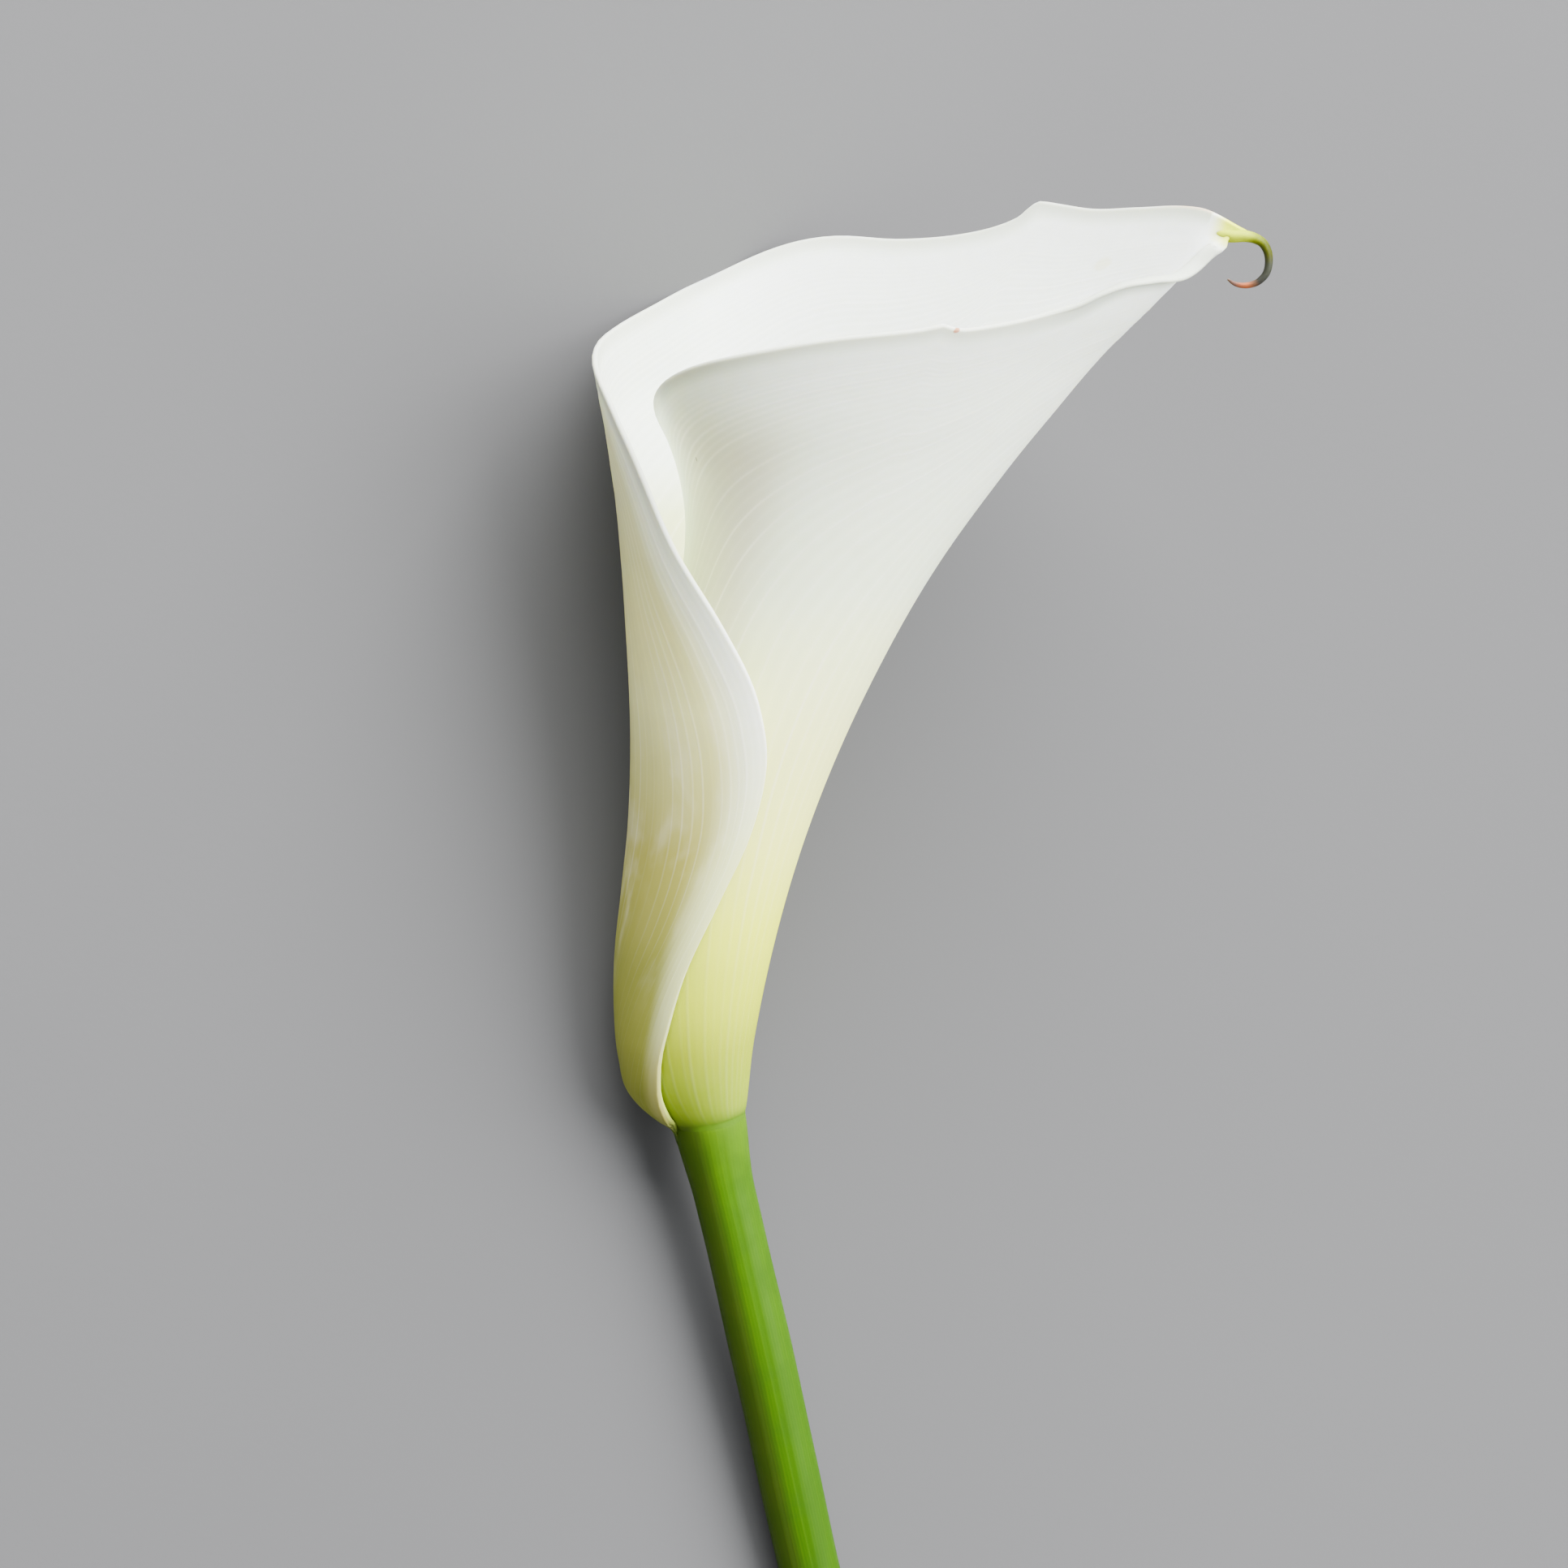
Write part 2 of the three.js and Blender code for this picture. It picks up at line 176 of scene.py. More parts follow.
def lineThrough(points):
    # a smooth line in space, by its share of the length
    spots = np.array([list(point) + [0] * (3 - len(point)) for point in points], float)
    steps = np.r_[0, np.cumsum(np.linalg.norm(np.diff(spots, axis=0), axis=1))]
    curves = [smoothCurve(list(zip(steps / steps[-1], spots[:, axis]))) for axis in range(3)]
    return lambda share: np.stack([curve(share) for curve in curves], axis=-1)


def unit(vectors):
    return vectors / np.maximum(np.linalg.norm(vectors, axis=-1, keepdims=True), 1e-12)


def directions(line, shares):
    # along a line that lies about in the x-y plane, sideways in that plane, and across it
    along = unit(line(shares + 1e-3) - line(shares - 1e-3))
    side = unit(np.stack([along[..., 1], -along[..., 0], np.zeros_like(along[..., 0])], axis=-1))
    return along, side, unit(np.cross(side, along))


def tubeRings(line, shares, radiusAt, sides, relief=None, flatness=None):
    # rings of points round a line
    centers = line(shares)
    side, across = directions(line, shares)[1:]
    turns = np.linspace(0, 2 * np.pi, sides, endpoint=False)
    radii = np.broadcast_to(np.asarray(radiusAt(shares), float)[:, None], (len(shares), sides))
    if relief is not None:
        radii = radii + relief(shares[:, None], turns[None, :])
    flat = np.ones(len(shares)) if flatness is None else flatness(shares)
    return (centers[:, None, :] + radii[..., None] * (
        side[:, None, :] * np.cos(turns)[None, :, None]
        + across[:, None, :] * flat[:, None, None] * np.sin(turns)[None, :, None]))


def ringFaces(rings, sides, first=0):
    # quads between rings, facing outward when the rings run up the line
    k, s = np.meshgrid(np.arange(rings - 1), np.arange(sides), indexing="ij")
    a = first + k * sides + s
    b = first + k * sides + (s + 1) % sides
    return np.stack([a, a + sides, b + sides, b], axis=-1).reshape(-1, 4)


def fanFaces(middle, ring, sides, upward):
    # triangles that close a ring at one end of a tube
    fan = []
    for s in range(sides):
        pair = [ring + s, ring + (s + 1) % sides]
        fan.append([middle] + (pair[::-1] if upward else pair))
    return fan


def closedTube(line, shares, radiusAt, sides, relief=None, flatness=None, first=0):
    # a tube with both ends closed; its points are counted from first
    rings = tubeRings(line, shares, radiusAt, sides, relief, flatness).reshape(-1, 3)
    points = np.concatenate([rings, line(shares[[0, -1]])])
    bottom, last = first + len(rings), first + len(rings) - sides
    faces = ringFaces(len(shares), sides, first).tolist()
    return points, faces + fanFaces(bottom, first, sides, False) + fanFaces(bottom + 1, last, sides, True)


def makePiece(name, points, faces, values, material):
    # values are numbers for each point, which the material reads by their names
    mesh = bpy.data.meshes.new(name)
    mesh.from_pydata(points.tolist(), [], faces)
    mesh.shade_smooth()
    for label, numbers in values.items():
        layer = mesh.attributes.new(label, "FLOAT", "POINT")
        layer.data.foreach_set("value", np.asarray(numbers, np.float32).ravel())
    mesh.validate()
    piece = bpy.data.objects.new(name, mesh)
    bpy.context.scene.collection.objects.link(piece)
    mesh.materials.append(material)
    return piece


# shader helpers

def tone(code):
    # an sRGB hex colour as linear numbers
    parts = [int(code[k:k + 2], 16) / 255 for k in (1, 3, 5)]
    return tuple(p / 12.92 if p < 0.04045 else ((p + 0.055) / 1.055) ** 2.4 for p in parts) + (1.0,)


def addNode(tree, kind, **settings):
    made = tree.nodes.new(kind)
    made.location = (200 * (len(tree.nodes) % 12), -260 * (len(tree.nodes) // 12))
    for label, value in settings.items():
        setattr(made, label, value)
    return made


def feed(tree, socket, value):
    if isinstance(value, bpy.types.NodeSocket):
        tree.links.new(value, socket)
    else:
        socket.default_value = value


def maths(tree, operation, *values):
    made = addNode(tree, "ShaderNodeMath", operation=operation)
    for socket, value in zip(made.inputs, values):
        feed(tree, socket, value)
    return made.outputs[0]


def times(tree, first, *others):
    # the product of masks and numbers
    for other in others:
        first = maths(tree, "MULTIPLY", first, other)
    return first


def ranged(tree, value, low, high, start=0.0, end=1.0, kind="SMOOTHSTEP"):
    made = addNode(tree, "ShaderNodeMapRange", interpolation_type=kind)
    for label, number in (("Value", value), ("From Min", low), ("From Max", high),
                          ("To Min", start), ("To Max", end)):
        feed(tree, made.inputs[label], number)
    return made.outputs["Result"]


def mixed(tree, share, first, second):
    made = addNode(tree, "ShaderNodeMix", data_type="RGBA")   # sockets 6 and 7 are its colours
    feed(tree, made.inputs[0], share)
    feed(tree, made.inputs[6], first)
    feed(tree, made.inputs[7], second)
    return made.outputs[2]


def tinted(tree, color, code, *masks):
    # a tone laid over a colour by the product of masks and numbers
    return mixed(tree, times(tree, *masks), color, tone(code))


def ramp(tree, value, stops):
    made = addNode(tree, "ShaderNodeValToRGB")
    made.color_ramp.interpolation = "LINEAR"
    while len(made.color_ramp.elements) < len(stops):
        made.color_ramp.elements.new(0.5)
    for element, (place, color) in zip(made.color_ramp.elements, stops):
        element.position = place
        element.color = tone(color)
    feed(tree, made.inputs["Fac"], value)
    return made.outputs["Color"]


def surfaceValue(tree, label):
    return addNode(tree, "ShaderNodeAttribute", attribute_name=label).outputs["Fac"]


def noise(tree, scale, detail=2.0, roughness=0.5, vector=None, distortion=0.0):
    made = addNode(tree, "ShaderNodeTexNoise")
    for label, number in (("Scale", scale), ("Detail", detail), ("Roughness", roughness),
                          ("Distortion", distortion)):
        feed(tree, made.inputs[label], number)
    if vector is not None:
        feed(tree, made.inputs["Vector"], vector)
    return made.outputs["Fac"]


def objectPlace(tree):
    return addNode(tree, "ShaderNodeTexCoord").outputs["Object"]


def bump(tree, height, distance, strength=1.0):
    made = addNode(tree, "ShaderNodeBump")
    feed(tree, made.inputs["Height"], height)
    made.inputs["Distance"].default_value = distance
    made.inputs["Strength"].default_value = strength
    return made.outputs["Normal"]


def newMaterial(name, **settings):
    material = bpy.data.materials.new(name)
    material.use_nodes = True
    tree = material.node_tree
    shader = tree.nodes["Principled BSDF"]
    for label, value in settings.items():
        shader.inputs[label].default_value = value
    return material, tree, shader


def startGroup(name, inputs, *outputs):
    group = bpy.data.node_groups.new(name, "ShaderNodeTree")
    for label, value in inputs.items():
        socket = group.interface.new_socket(label, in_out="INPUT", socket_type="NodeSocketFloat")
        socket.default_value = value
    for label in outputs:
        group.interface.new_socket(label, in_out="OUTPUT", socket_type="NodeSocketFloat")
    start = addNode(group, "NodeGroupInput")
    end = addNode(group, "NodeGroupOutput")
    return group, start.outputs, end.inputs


def useGroup(tree, group, **values):
    made = addNode(tree, "ShaderNodeGroup", node_tree=group)
    for label, value in values.items():
        feed(tree, made.inputs[label], value)
    return made.outputs


def buildFineLines():
    # fine lines that run along the tissue, of uneven strength, and the hollows between them, where shade is
    # painted
    group, given, result = startGroup(
        "fineLines", {"Across": 0.0, "Spacing": 1.0, "Width": 0.12, "Wander": 0.0}, "Line", "ShadedHollow")
    across = maths(group, "ADD", given["Across"], given["Wander"])
    index = maths(group, "ROUND", across)
    apart = maths(group, "ABSOLUTE", maths(group, "SUBTRACT", across, index))
    dice = addNode(group, "ShaderNodeTexWhiteNoise", noise_dimensions="1D")
    feed(group, dice.inputs["W"], index)
    strength = ranged(group, dice.outputs["Value"], 0.15, 1.0, 0.12, 1.0, "LINEAR")
    room = ranged(group, given["Spacing"], 0.35, 1.1)   # none where the lines run together
    away = ranged(group, times(group, apart, given["Spacing"]), 0.0, given["Width"])
    line = maths(group, "SUBTRACT", 1.0, away)
    feed(group, result["Line"], times(group, line, strength, room))
    feed(group, result["ShadedHollow"], times(group, apart, 2.0, room))
    return group


def buildCloudiness():
    # cloudy patches, coarse and fine together
    group, given, result = startGroup("cloudiness", {"Scale": 60.0, "Low": 0.4, "High": 0.6}, "Cloud")
    patches = noise(group, given["Scale"], 3.0, 0.55, objectPlace(group), 0.4)
    feed(group, result["Cloud"], ranged(group, patches, given["Low"], given["High"]))
    return group


def buildSkinCells():
    # the skin's tiny cells, a height for a bump
    group, given, result = startGroup("skinCells", {"Scale": 5000.0}, "Height")
    place = objectPlace(group)
    cells = addNode(group, "ShaderNodeTexVoronoi", feature="SMOOTH_F1")
    feed(group, cells.inputs["Vector"], place)
    feed(group, cells.inputs["Scale"], given["Scale"])
    soft = noise(group, times(group, given["Scale"], 0.12), 3.0, 0.6, place)
    feed(group, result["Height"], maths(group, "ADD", times(group, cells.outputs["Distance"], -0.6), soft))
    return group


def buildSmallMark():
    # a small round mark at one place of the surface
    group, given, result = startGroup(
        "smallMark", {"Turn": 0.0, "Height": 0.0, "MarkTurn": 0.0, "MarkHeight": 0.0,
                      "TurnSize": 1.0, "HeightSize": 1.0}, "Mark")
    squares = []
    for way in ("Turn", "Height"):
        off = maths(group, "SUBTRACT", given[way], given["Mark" + way])
        off = maths(group, "DIVIDE", off, given[way + "Size"])
        squares.append(times(group, off, off))
    far = maths(group, "SQRT", maths(group, "ADD", *squares))
    feed(group, result["Mark"], ranged(group, far, 1.0, 0.55))
    return group


fineLines = buildFineLines()
cloudiness = buildCloudiness()
skinCells = buildSkinCells()
smallMark = buildSmallMark()
print("shader groups are built")


def drift(tree, scale, size):
    # how far the fine lines wander sideways
    return times(tree, noise(tree, scale, vector=objectPlace(tree)), size)


def skinHeight(tree, finish, line):
    # a bump's height from the fine lines and the skin's cells
    lineShare, cellShare = finish["heightShares"]
    cells = useGroup(tree, skinCells, Scale=finish["cellScale"])["Height"]
    return maths(tree, "ADD", times(tree, line, lineShare), times(tree, cells, cellShare))


# stem

stemPart = {
    "radius": 4.5,
    "topRadius": 5.35,
    "length": 84,
    "flareLength": 12,
    "bevel": 0.4,
    "sides": 120,
    "rings": 240,
    "ridges": 0.045,
    "ridgeCounts": (3, 7, 13, 22, 31),
    "lastRing": 0.99,         # share of the length where the shoulder begins
    "line": [(18, -84), (13.75, -65), (8.2, -38.6), (4, -19.6), (1, -6), (0.1, -1)],
    # inside the leaf's base: (radius, height over the sloping shoulder), then the plug
    "shoulder": [(5.2, 0.25), (4.8, 0.8), (4, 1.1), (3, 1.2), (2.4, 1.6)],
    "shoulderSlope": 0.25,
    "shoulderDrop": 1.4,
    "plugTop": 3.9,
    "cutRings": 26,
    "cutHollow": 0.35,
    "cutDents": 0.05,
    "tones": [(0, "#284d00"), (0.6, "#315600"), (0.88, "#365c00"), (0.96, "#456a00"), (1, "#4f7202")],
    "shadedSideTone": "#364712",    # painted shade: one side is darker, where the light doesn't reach
    "shadedSideShare": 0.85,
    "shadedSideOver": (0.05, -0.4),   # cosine of the turn round the stem
    "shadeTone": "#27460a",
    "paleTone": "#658508",
    "cutTone": "#c3d08c",
    "poreTone": "#7c8f42",
    "poreScale": 1500,
    "poreReach": (0.42, 0.2),
    "lineCount": 9.0,         # for each radian round the stem
    "fineLines": {"Spacing": 0.62, "Width": 0.26},
    "wander": (90.0, 0.8),
    "clouds": {"Scale": 160.0, "Low": 0.35, "High": 0.7},
    "lineShare": 0.3,
    "cloudShare": 0.3,
    "roughness": (0.36, 0.5),
    "cellScale": 3600.0,
    "heightShares": (0.5, 0.2),
    "bumpDepth": 0.00008,
}


def stemRadiusAt(share):
    flare = smoothStep(1 - ((1 - share) * stemPart["length"]) / stemPart["flareLength"])
    return stemPart["radius"] + (stemPart["topRadius"] - stemPart["radius"]) * flare


def stemRelief(share, turn):
    # long soft ridges, and a slow unevenness
    phases = np.random.default_rng(4).uniform(0, 2 * np.pi, (len(stemPart["ridgeCounts"]), 2))
    wave = 0
    for k, count in enumerate(stemPart["ridgeCounts"]):
        wave = wave + np.cos(count * turn + phases[k, 0] + (0.6 + k * 0.5) * share) / (1 + 0.5 * k)
    slow = 0.05 * np.sin(9 * share + phases[0, 1]) + 0.03 * np.sin(23 * share + phases[1, 1])
    return (stemPart["ridges"] * wave * 0.5 + slow) * smoothStep(1 - share, 0.0, 0.06)


def cutEnd(line, turns):
    # the cut end's rings, slightly hollow and spongy, from its middle outward
    start = line(0.0)
    tangent, side, across = directions(line, 0.0)
    discs = []
    for radius in np.linspace(0.1, stemPart["radius"] - stemPart["bevel"], stemPart["cutRings"])[:-1]:
        hollow = stemPart["cutHollow"] * (1 - (radius / stemPart["radius"]) ** 2)
        dents = stemPart["cutDents"] * np.sin(5 * turns + radius * 4) * np.cos(11 * turns - radius * 7)
        circle = start + radius * (np.cos(turns)[:, None] * side + np.sin(turns)[:, None] * across)
        discs.append(circle + (hollow + dents)[:, None] * tangent)
    return np.array(discs), start + stemPart["cutHollow"] * tangent


def buildStem(material):
    line = lineThrough(stemPart["line"])
    bevelShare = stemPart["bevel"] / stemPart["length"]
    shares = np.concatenate([bevelShare * (1 - np.cos(np.linspace(0, np.pi / 2, 6)))[:-1],
                             np.linspace(bevelShare, stemPart["lastRing"], stemPart["rings"])])
    sides = stemPart["sides"]
    edge = np.minimum(shares / bevelShare, 1)
    bevel = stemPart["bevel"] * (1 - np.sqrt(1 - (1 - edge) ** 2))

    def radiusAt(share):
        return stemRadiusAt(share) - np.interp(share, shares, bevel)

    rings = tubeRings(line, shares, radiusAt, sides, stemRelief)
    turns = np.linspace(0, 2 * np.pi, sides, endpoint=False)
    middle = stemPart["line"][-1][0]
    caps = []
    for radius, rise in stemPart["shoulder"]:
        x = middle + radius * np.cos(turns)
        level = stemPart["shoulderSlope"] * x - stemPart["shoulderDrop"] + rise
        caps.append(np.stack([x, level, radius * np.sin(turns)], axis=-1))
    caps.append(caps[-1].copy())
    caps[-1][:, 1] = stemPart["plugTop"]
    discs, cutMiddle = cutEnd(line, turns)
    stack = np.concatenate([discs, rings, np.array(caps)])
    ringCount = len(stack)
    points = np.concatenate([stack.reshape(-1, 3), [cutMiddle, (middle, stemPart["plugTop"], 0)]])
    bottom, lastRing = ringCount * sides, (ringCount - 1) * sides
    faces = ringFaces(ringCount, sides).tolist()
    faces += fanFaces(bottom, 0, sides, False) + fanFaces(bottom + 1, lastRing, sides, True)
    along = np.concatenate([np.zeros(len(discs)), shares, np.ones(len(caps))])
    isCut = np.r_[np.ones(len(discs)), np.zeros(ringCount - len(discs))]
    values = {
        "along": np.concatenate([np.repeat(along, sides), [0, 1]]),
        "turn": np.concatenate([np.tile(turns, ringCount), [0, 0]]),
        "cut": np.concatenate([np.repeat(isCut, sides), [1, 0]]),
    }
    points = laidDown(points)
    points[:, 2] = np.maximum(points[:, 2], 0)
    piece = makePiece("calla_stem", points, faces, values, material)
    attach(piece, "root")
    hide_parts("stem")


def stemShadedSide(tree, acrossStem):
    # the share of painted shade on the left side, for the stem and for the leaf's hem
    return ranged(tree, acrossStem, *stemPart["shadedSideOver"], 0.0, stemPart["shadedSideShare"])


def stemMaterial():
    material, tree, shader = newMaterial(
        "stemSkin", **{"IOR": 1.42, "Subsurface Weight": 0.1, "Subsurface Scale": 0.001,
                       "Subsurface Radius": (0.6, 1.0, 0.2), "Specular IOR Level": 0.08})
    along, turn, cut = [surfaceValue(tree, label) for label in ("along", "turn", "cut")]
    color = ramp(tree, along, stemPart["tones"])
    color = tinted(tree, color, stemPart["shadedSideTone"], stemShadedSide(tree, maths(tree, "COSINE", turn)))
    wander = drift(tree, *stemPart["wander"])
    lines = useGroup(tree, fineLines, Across=times(tree, turn, stemPart["lineCount"]),
                     **stemPart["fineLines"], Wander=wander)
    clouds = useGroup(tree, cloudiness, **stemPart["clouds"])["Cloud"]
    color = tinted(tree, color, stemPart["paleTone"], lines["Line"], stemPart["lineShare"])
    color = tinted(tree, color, stemPart["shadeTone"], clouds, stemPart["cloudShare"])
    # the cut's spongy tissue
    pores = addNode(tree, "ShaderNodeTexVoronoi")
    feed(tree, pores.inputs["Vector"], objectPlace(tree))
    feed(tree, pores.inputs["Scale"], stemPart["poreScale"])
    hole = ranged(tree, pores.outputs["Distance"], *stemPart["poreReach"])
    sponge = mixed(tree, hole, tone(stemPart["cutTone"]), tone(stemPart["poreTone"]))
    feed(tree, shader.inputs["Base Color"], mixed(tree, cut, color, sponge))
    roughness = ranged(tree, clouds, 0.0, 1.0, *stemPart["roughness"], "LINEAR")
    feed(tree, shader.inputs["Roughness"], roughness)
    heights = skinHeight(tree, stemPart, lines["Line"])
    heights = maths(tree, "SUBTRACT", heights, times(tree, hole, cut, 2.0))
    feed(tree, shader.inputs["Normal"], bump(tree, heights, stemPart["bumpDepth"], 0.6))
    return material


buildStem(stemMaterial())
print("the stem is built")


# the white leaf, rolled into a funnel

leaf = {
    "columns": 300,
    "columnPacking": 4.2,     # more columns round the tip
    "packedShare": 0.1,
    "rows": 116,
    "probeSteps": (0.004, 0.002),   # for slopes, as shares of the rise and of the way round
    "rowPower": 1.35,         # more rows near the base
    "thickness": 1.2,
    "rimThickness": 0.78,
    "thinHeight": 125,        # from here up it is as thin as its rim
    "outerFlapLift": 1.2,
    "flapLiftOver": (180, 280),
    "curlOver": (20, 150),
    "tipNarrowing": 0.5,
    "narrowingOver": (116, 128),
    # degrees round the base under five places of the free edge, the tip in the middle
    "baseAngles": (190, 112, 0, -108, -203),
    "baseSlope": 0.25,
    "baseDrop": 0.8,
    "collarDrop": 2.2,        # how far the base reaches down over the stem
    "collarBlend": 9.2,       # height over which it leaves the stem's skin
    "collarLean": 2.6,        # that height is more on the right and less on the left
    "flapCollar": 2.6,        # and less again under the outer flap
    "flapCollarOver": (150, 220),
    "outerProud": (-0.035, 0.07, 2.5),   # over the stem's skin: start, rise and where it ends
    "innerProud": (-0.06, -0.4, 1),
    "lapUnder": (0.3, 120, 170),         # the margin under the flap lies deeper
    "lapOver": (-0.1, 140, 190),
    "veins": 40,              # on each side of the middle
    "pleatDepth": 0.05,
    "tipPleatDepth": 0.1,
    "pleatHeights": (8, 40),
    "tipPleatHeights": (102, 118),
    "tipPleatAngles": (50, 20),
    "pleatWaves": [(7, 0.1, 1), (12.5, 0.45, 0.7), (21, 0.8, 0.5)],   # count, shift, size
    "lipRadius": 1.15,        # the margin rolls outward near the tip
    "lipTurn": 120,
    "lipStart": (60, 32),     # degrees where the roll starts and is full
    "lipEnd": (-1.5, 2.5),
    # rows near the free edge, mm from it
    "edgeSteps": (6, 5.4, 4.8, 4.2, 3.7, 3.2, 2.8, 2.4, 2, 1.65, 1.3, 1, 0.78, 0.6, 0.44, 0.3, 0.18,
        0.08, 0.02, 0),
    # the margin at the tip is drawn out into a beak, and beside it into an ear
    "beak": {"start": (72.3, 128, -1.5), "end": (76.5, 127.1, -0.5), "reach": 2.3, "squeeze": 0.85},
    "ear": {"start": (72.4, 125.9, 0.6), "end": (73.2, 125.55, 0.8), "reach": 1, "squeeze": 0},
    # outline over the height: left and right side, half the depth, narrowing, inner roll
    "leftSide": [(-2, -6), (0, -8.2), (3, -10.9), (8, -12.3), (15, -12.9), (22, -12.85), (32, -11.85),
        (42, -10.8), (52, -10.4), (72, -11.1), (92, -12.8), (112, -16.3), (131, -21)],
    "rightSide": [(-2, 5.3), (3, 5.5), (8, 5.8), (15, 6.95), (22, 8.4), (42, 14.05), (62, 22.4), (82, 33.6),
        (92, 40.8), (102, 48.7), (112, 57.2), (116, 61.3), (120.5, 65.8), (124, 69.2), (127, 71.9),
        (131, 74.2)],
    "halfDepth": [(-2, 5), (0, 6), (3, 7.3), (8, 8.7), (22, 10.4), (42, 12.3), (62, 15.3), (82, 19.6),
        (102, 25.2), (122, 32), (131, 35.2)],
    "eggShape": [(22, 0), (42, 0.05), (62, 0.15), (82, 0.26), (102, 0.38), (122, 0.48), (131, 0.52)],
    "innerCurl": [(-2, 1.5), (48, 1.6), (58, 2.4), (68, 5.4), (80, 8.8), (90, 9.7), (97, 8.9), (103, 7.2),
        (112, 6.2), (131, 5.5)],
    # free edge as (degrees round the funnel, height): inner flap, near rim, tip, far rim, outer flap
    "freeEdge": [(196, 3), (210, 15), (216, 34), (211, 58), (202, 74), (193, 86), (183, 95), (170, 102.5),
        (152, 108), (133, 112), (115, 114.6), (95, 116.7), (84, 117.2), (78, 117.5), (74.4, 117.9),
        (72.4, 117.4), (70.4, 117.1), (64, 117.25), (57.5, 117.8), (51, 118.7), (45.5, 119.7), (42, 121.1),
        (38, 122.1), (30, 122.5), (20, 122.4), (12, 122.8), (6, 124), (2.5, 125.7), (-1.5, 127.4),
        (-6, 128.8), (-12, 129.7), (-22.5, 130.3), (-31, 130.2), (-42, 129.3), (-52, 128.5), (-59.5, 128.8),
        (-62.5, 128.9), (-64, 128), (-65.4, 126.5), (-69.6, 124.7), (-75, 123.5), (-86, 122.4),
        (-97, 122.5), (-126, 116.4), (-141.5, 113.4), (-155.5, 111.8), (-170, 110.7), (-180, 109.6),
        (-188, 108.4), (-196, 106.2), (-204, 102.2), (-229, 85.7), (-252, 74.8), (-275, 62.7), (-287, 53),
        (-288, 43), (-280, 34.4), (-266, 23), (-257, 14.3), (-253.2, 11.2), (-250.4, 8.6), (-248.5, 6.2),
        (-246.5, 4), (-243, 2.1), (-238, 0.5), (-229, -0.9), (-216, -1.9)],
    "tailLine": [(71.3, 126.75, -2.7), (72.7, 126.8, -1.45), (74.2, 126.85, -0.35), (76.1, 126.9, -0.1),
        (77.35, 126.6, -0.1), (78.4, 126, 0.1), (79.07, 124.95, 0.3), (79.3, 123.3, 0.5),
        (78.95, 121.8, 0.7), (77.8, 120.6, 0.9), (76.1, 120.1, 1), (74.5, 120.35, 1), (73.5, 121, 1)],
    "tailRadius": [(0, 0.2), (0.06, 0.6), (0.12, 0.82), (0.2, 0.84), (0.27, 0.84), (0.33, 0.78), (0.4, 0.7),
        (0.47, 0.64), (0.555, 0.58), (0.66, 0.53), (0.76, 0.47), (0.855, 0.41), (0.94, 0.3), (1, 0.14)],
    "tailTint": 5.8,          # the tail's green runs this far into the leaf
    "tailTintDrop": 2,        # and half as far below it
    "tailShareThere": 0.2,
    # how far along its colours each share of the tail is
    "tailColors": [(0, 0.05), (0.145, 0.2), (1, 1)],
    "tailRings": 100,
    "tailSides": 32,
    "tailRelief": 0.05,
    "tailFlatness": [(0, 0.6), (0.15, 0.8), (0.3, 1), (1, 1)],
}

leftAt = smoothCurve(leaf["leftSide"])
rightAt = smoothCurve(leaf["rightSide"])
depthAt = smoothCurve(leaf["halfDepth"])
eggAt = smoothCurve(leaf["eggShape"])
curlAt = smoothCurve(leaf["innerCurl"])


def leafPoint(angle, height):
    # middle of the leaf's thickness
    turn = np.radians(angle)
    halfWidth = (rightAt(height) - leftAt(height)) / 2
    middle = (rightAt(height) + leftAt(height)) / 2
    depth = depthAt(height)
    egg = np.maximum(eggAt(height), 0)
    curlIn = curlAt(height) * smoothStep(angle, *leaf["curlOver"])
    liftOut = leaf["outerFlapLift"] * smoothStep(-angle, *leaf["flapLiftOver"])
    outward = unit(np.stack([np.cos(turn) / halfWidth, np.zeros_like(turn), np.sin(turn) / depth], axis=-1))
    towardsTip = np.maximum(np.cos(turn), 0) ** 6
    narrowing = 1 - leaf["tipNarrowing"] * smoothStep(height, *leaf["narrowingOver"]) * towardsTip
    x = middle + halfWidth * np.cos(turn)
    z = depth * np.sin(turn) * (1 - egg * np.cos(turn)) * narrowing
    return np.stack([x, height, z], axis=-1) + outward * (liftOut - curlIn)[..., None]


def edgeCurves():
    edge = np.array(leaf["freeEdge"], float)
    steps = np.hypot(np.diff(edge[:, 0]) * 0.3, np.diff(edge[:, 1]))
    shares = np.r_[0, np.cumsum(steps)] / steps.sum()
    tipShare = shares[np.argmin(np.abs(edge[:, 0]))]
    edgeAngle = smoothCurve(list(zip(shares, edge[:, 0])))
    edgeHeight = smoothCurve(list(zip(shares, edge[:, 1])))
    places = (0, tipShare / 2, tipShare, (1 + tipShare) / 2, 1)
    baseAngle = smoothCurve(list(zip(places, leaf["baseAngles"])))
    return edgeAngle, edgeHeight, baseAngle, tipShare


edgeAngle, edgeHeight, baseAngle, tipShare = edgeCurves()


def baseHeight(angle):
    # the collar slopes down to the left, like the stem's shoulder
    slope = leaf["baseSlope"] * stemPart["topRadius"] * np.cos(np.radians(angle))
    return slope - leaf["baseDrop"] - leaf["collarDrop"]


def leafFlow(share, rise):
    # angle and height at a share of the way round and a rise from base to free edge
    start = baseAngle(share)
    low = baseHeight(start)
    return start + (edgeAngle(share) - start) * rise, low + (edgeHeight(share) - low) * rise


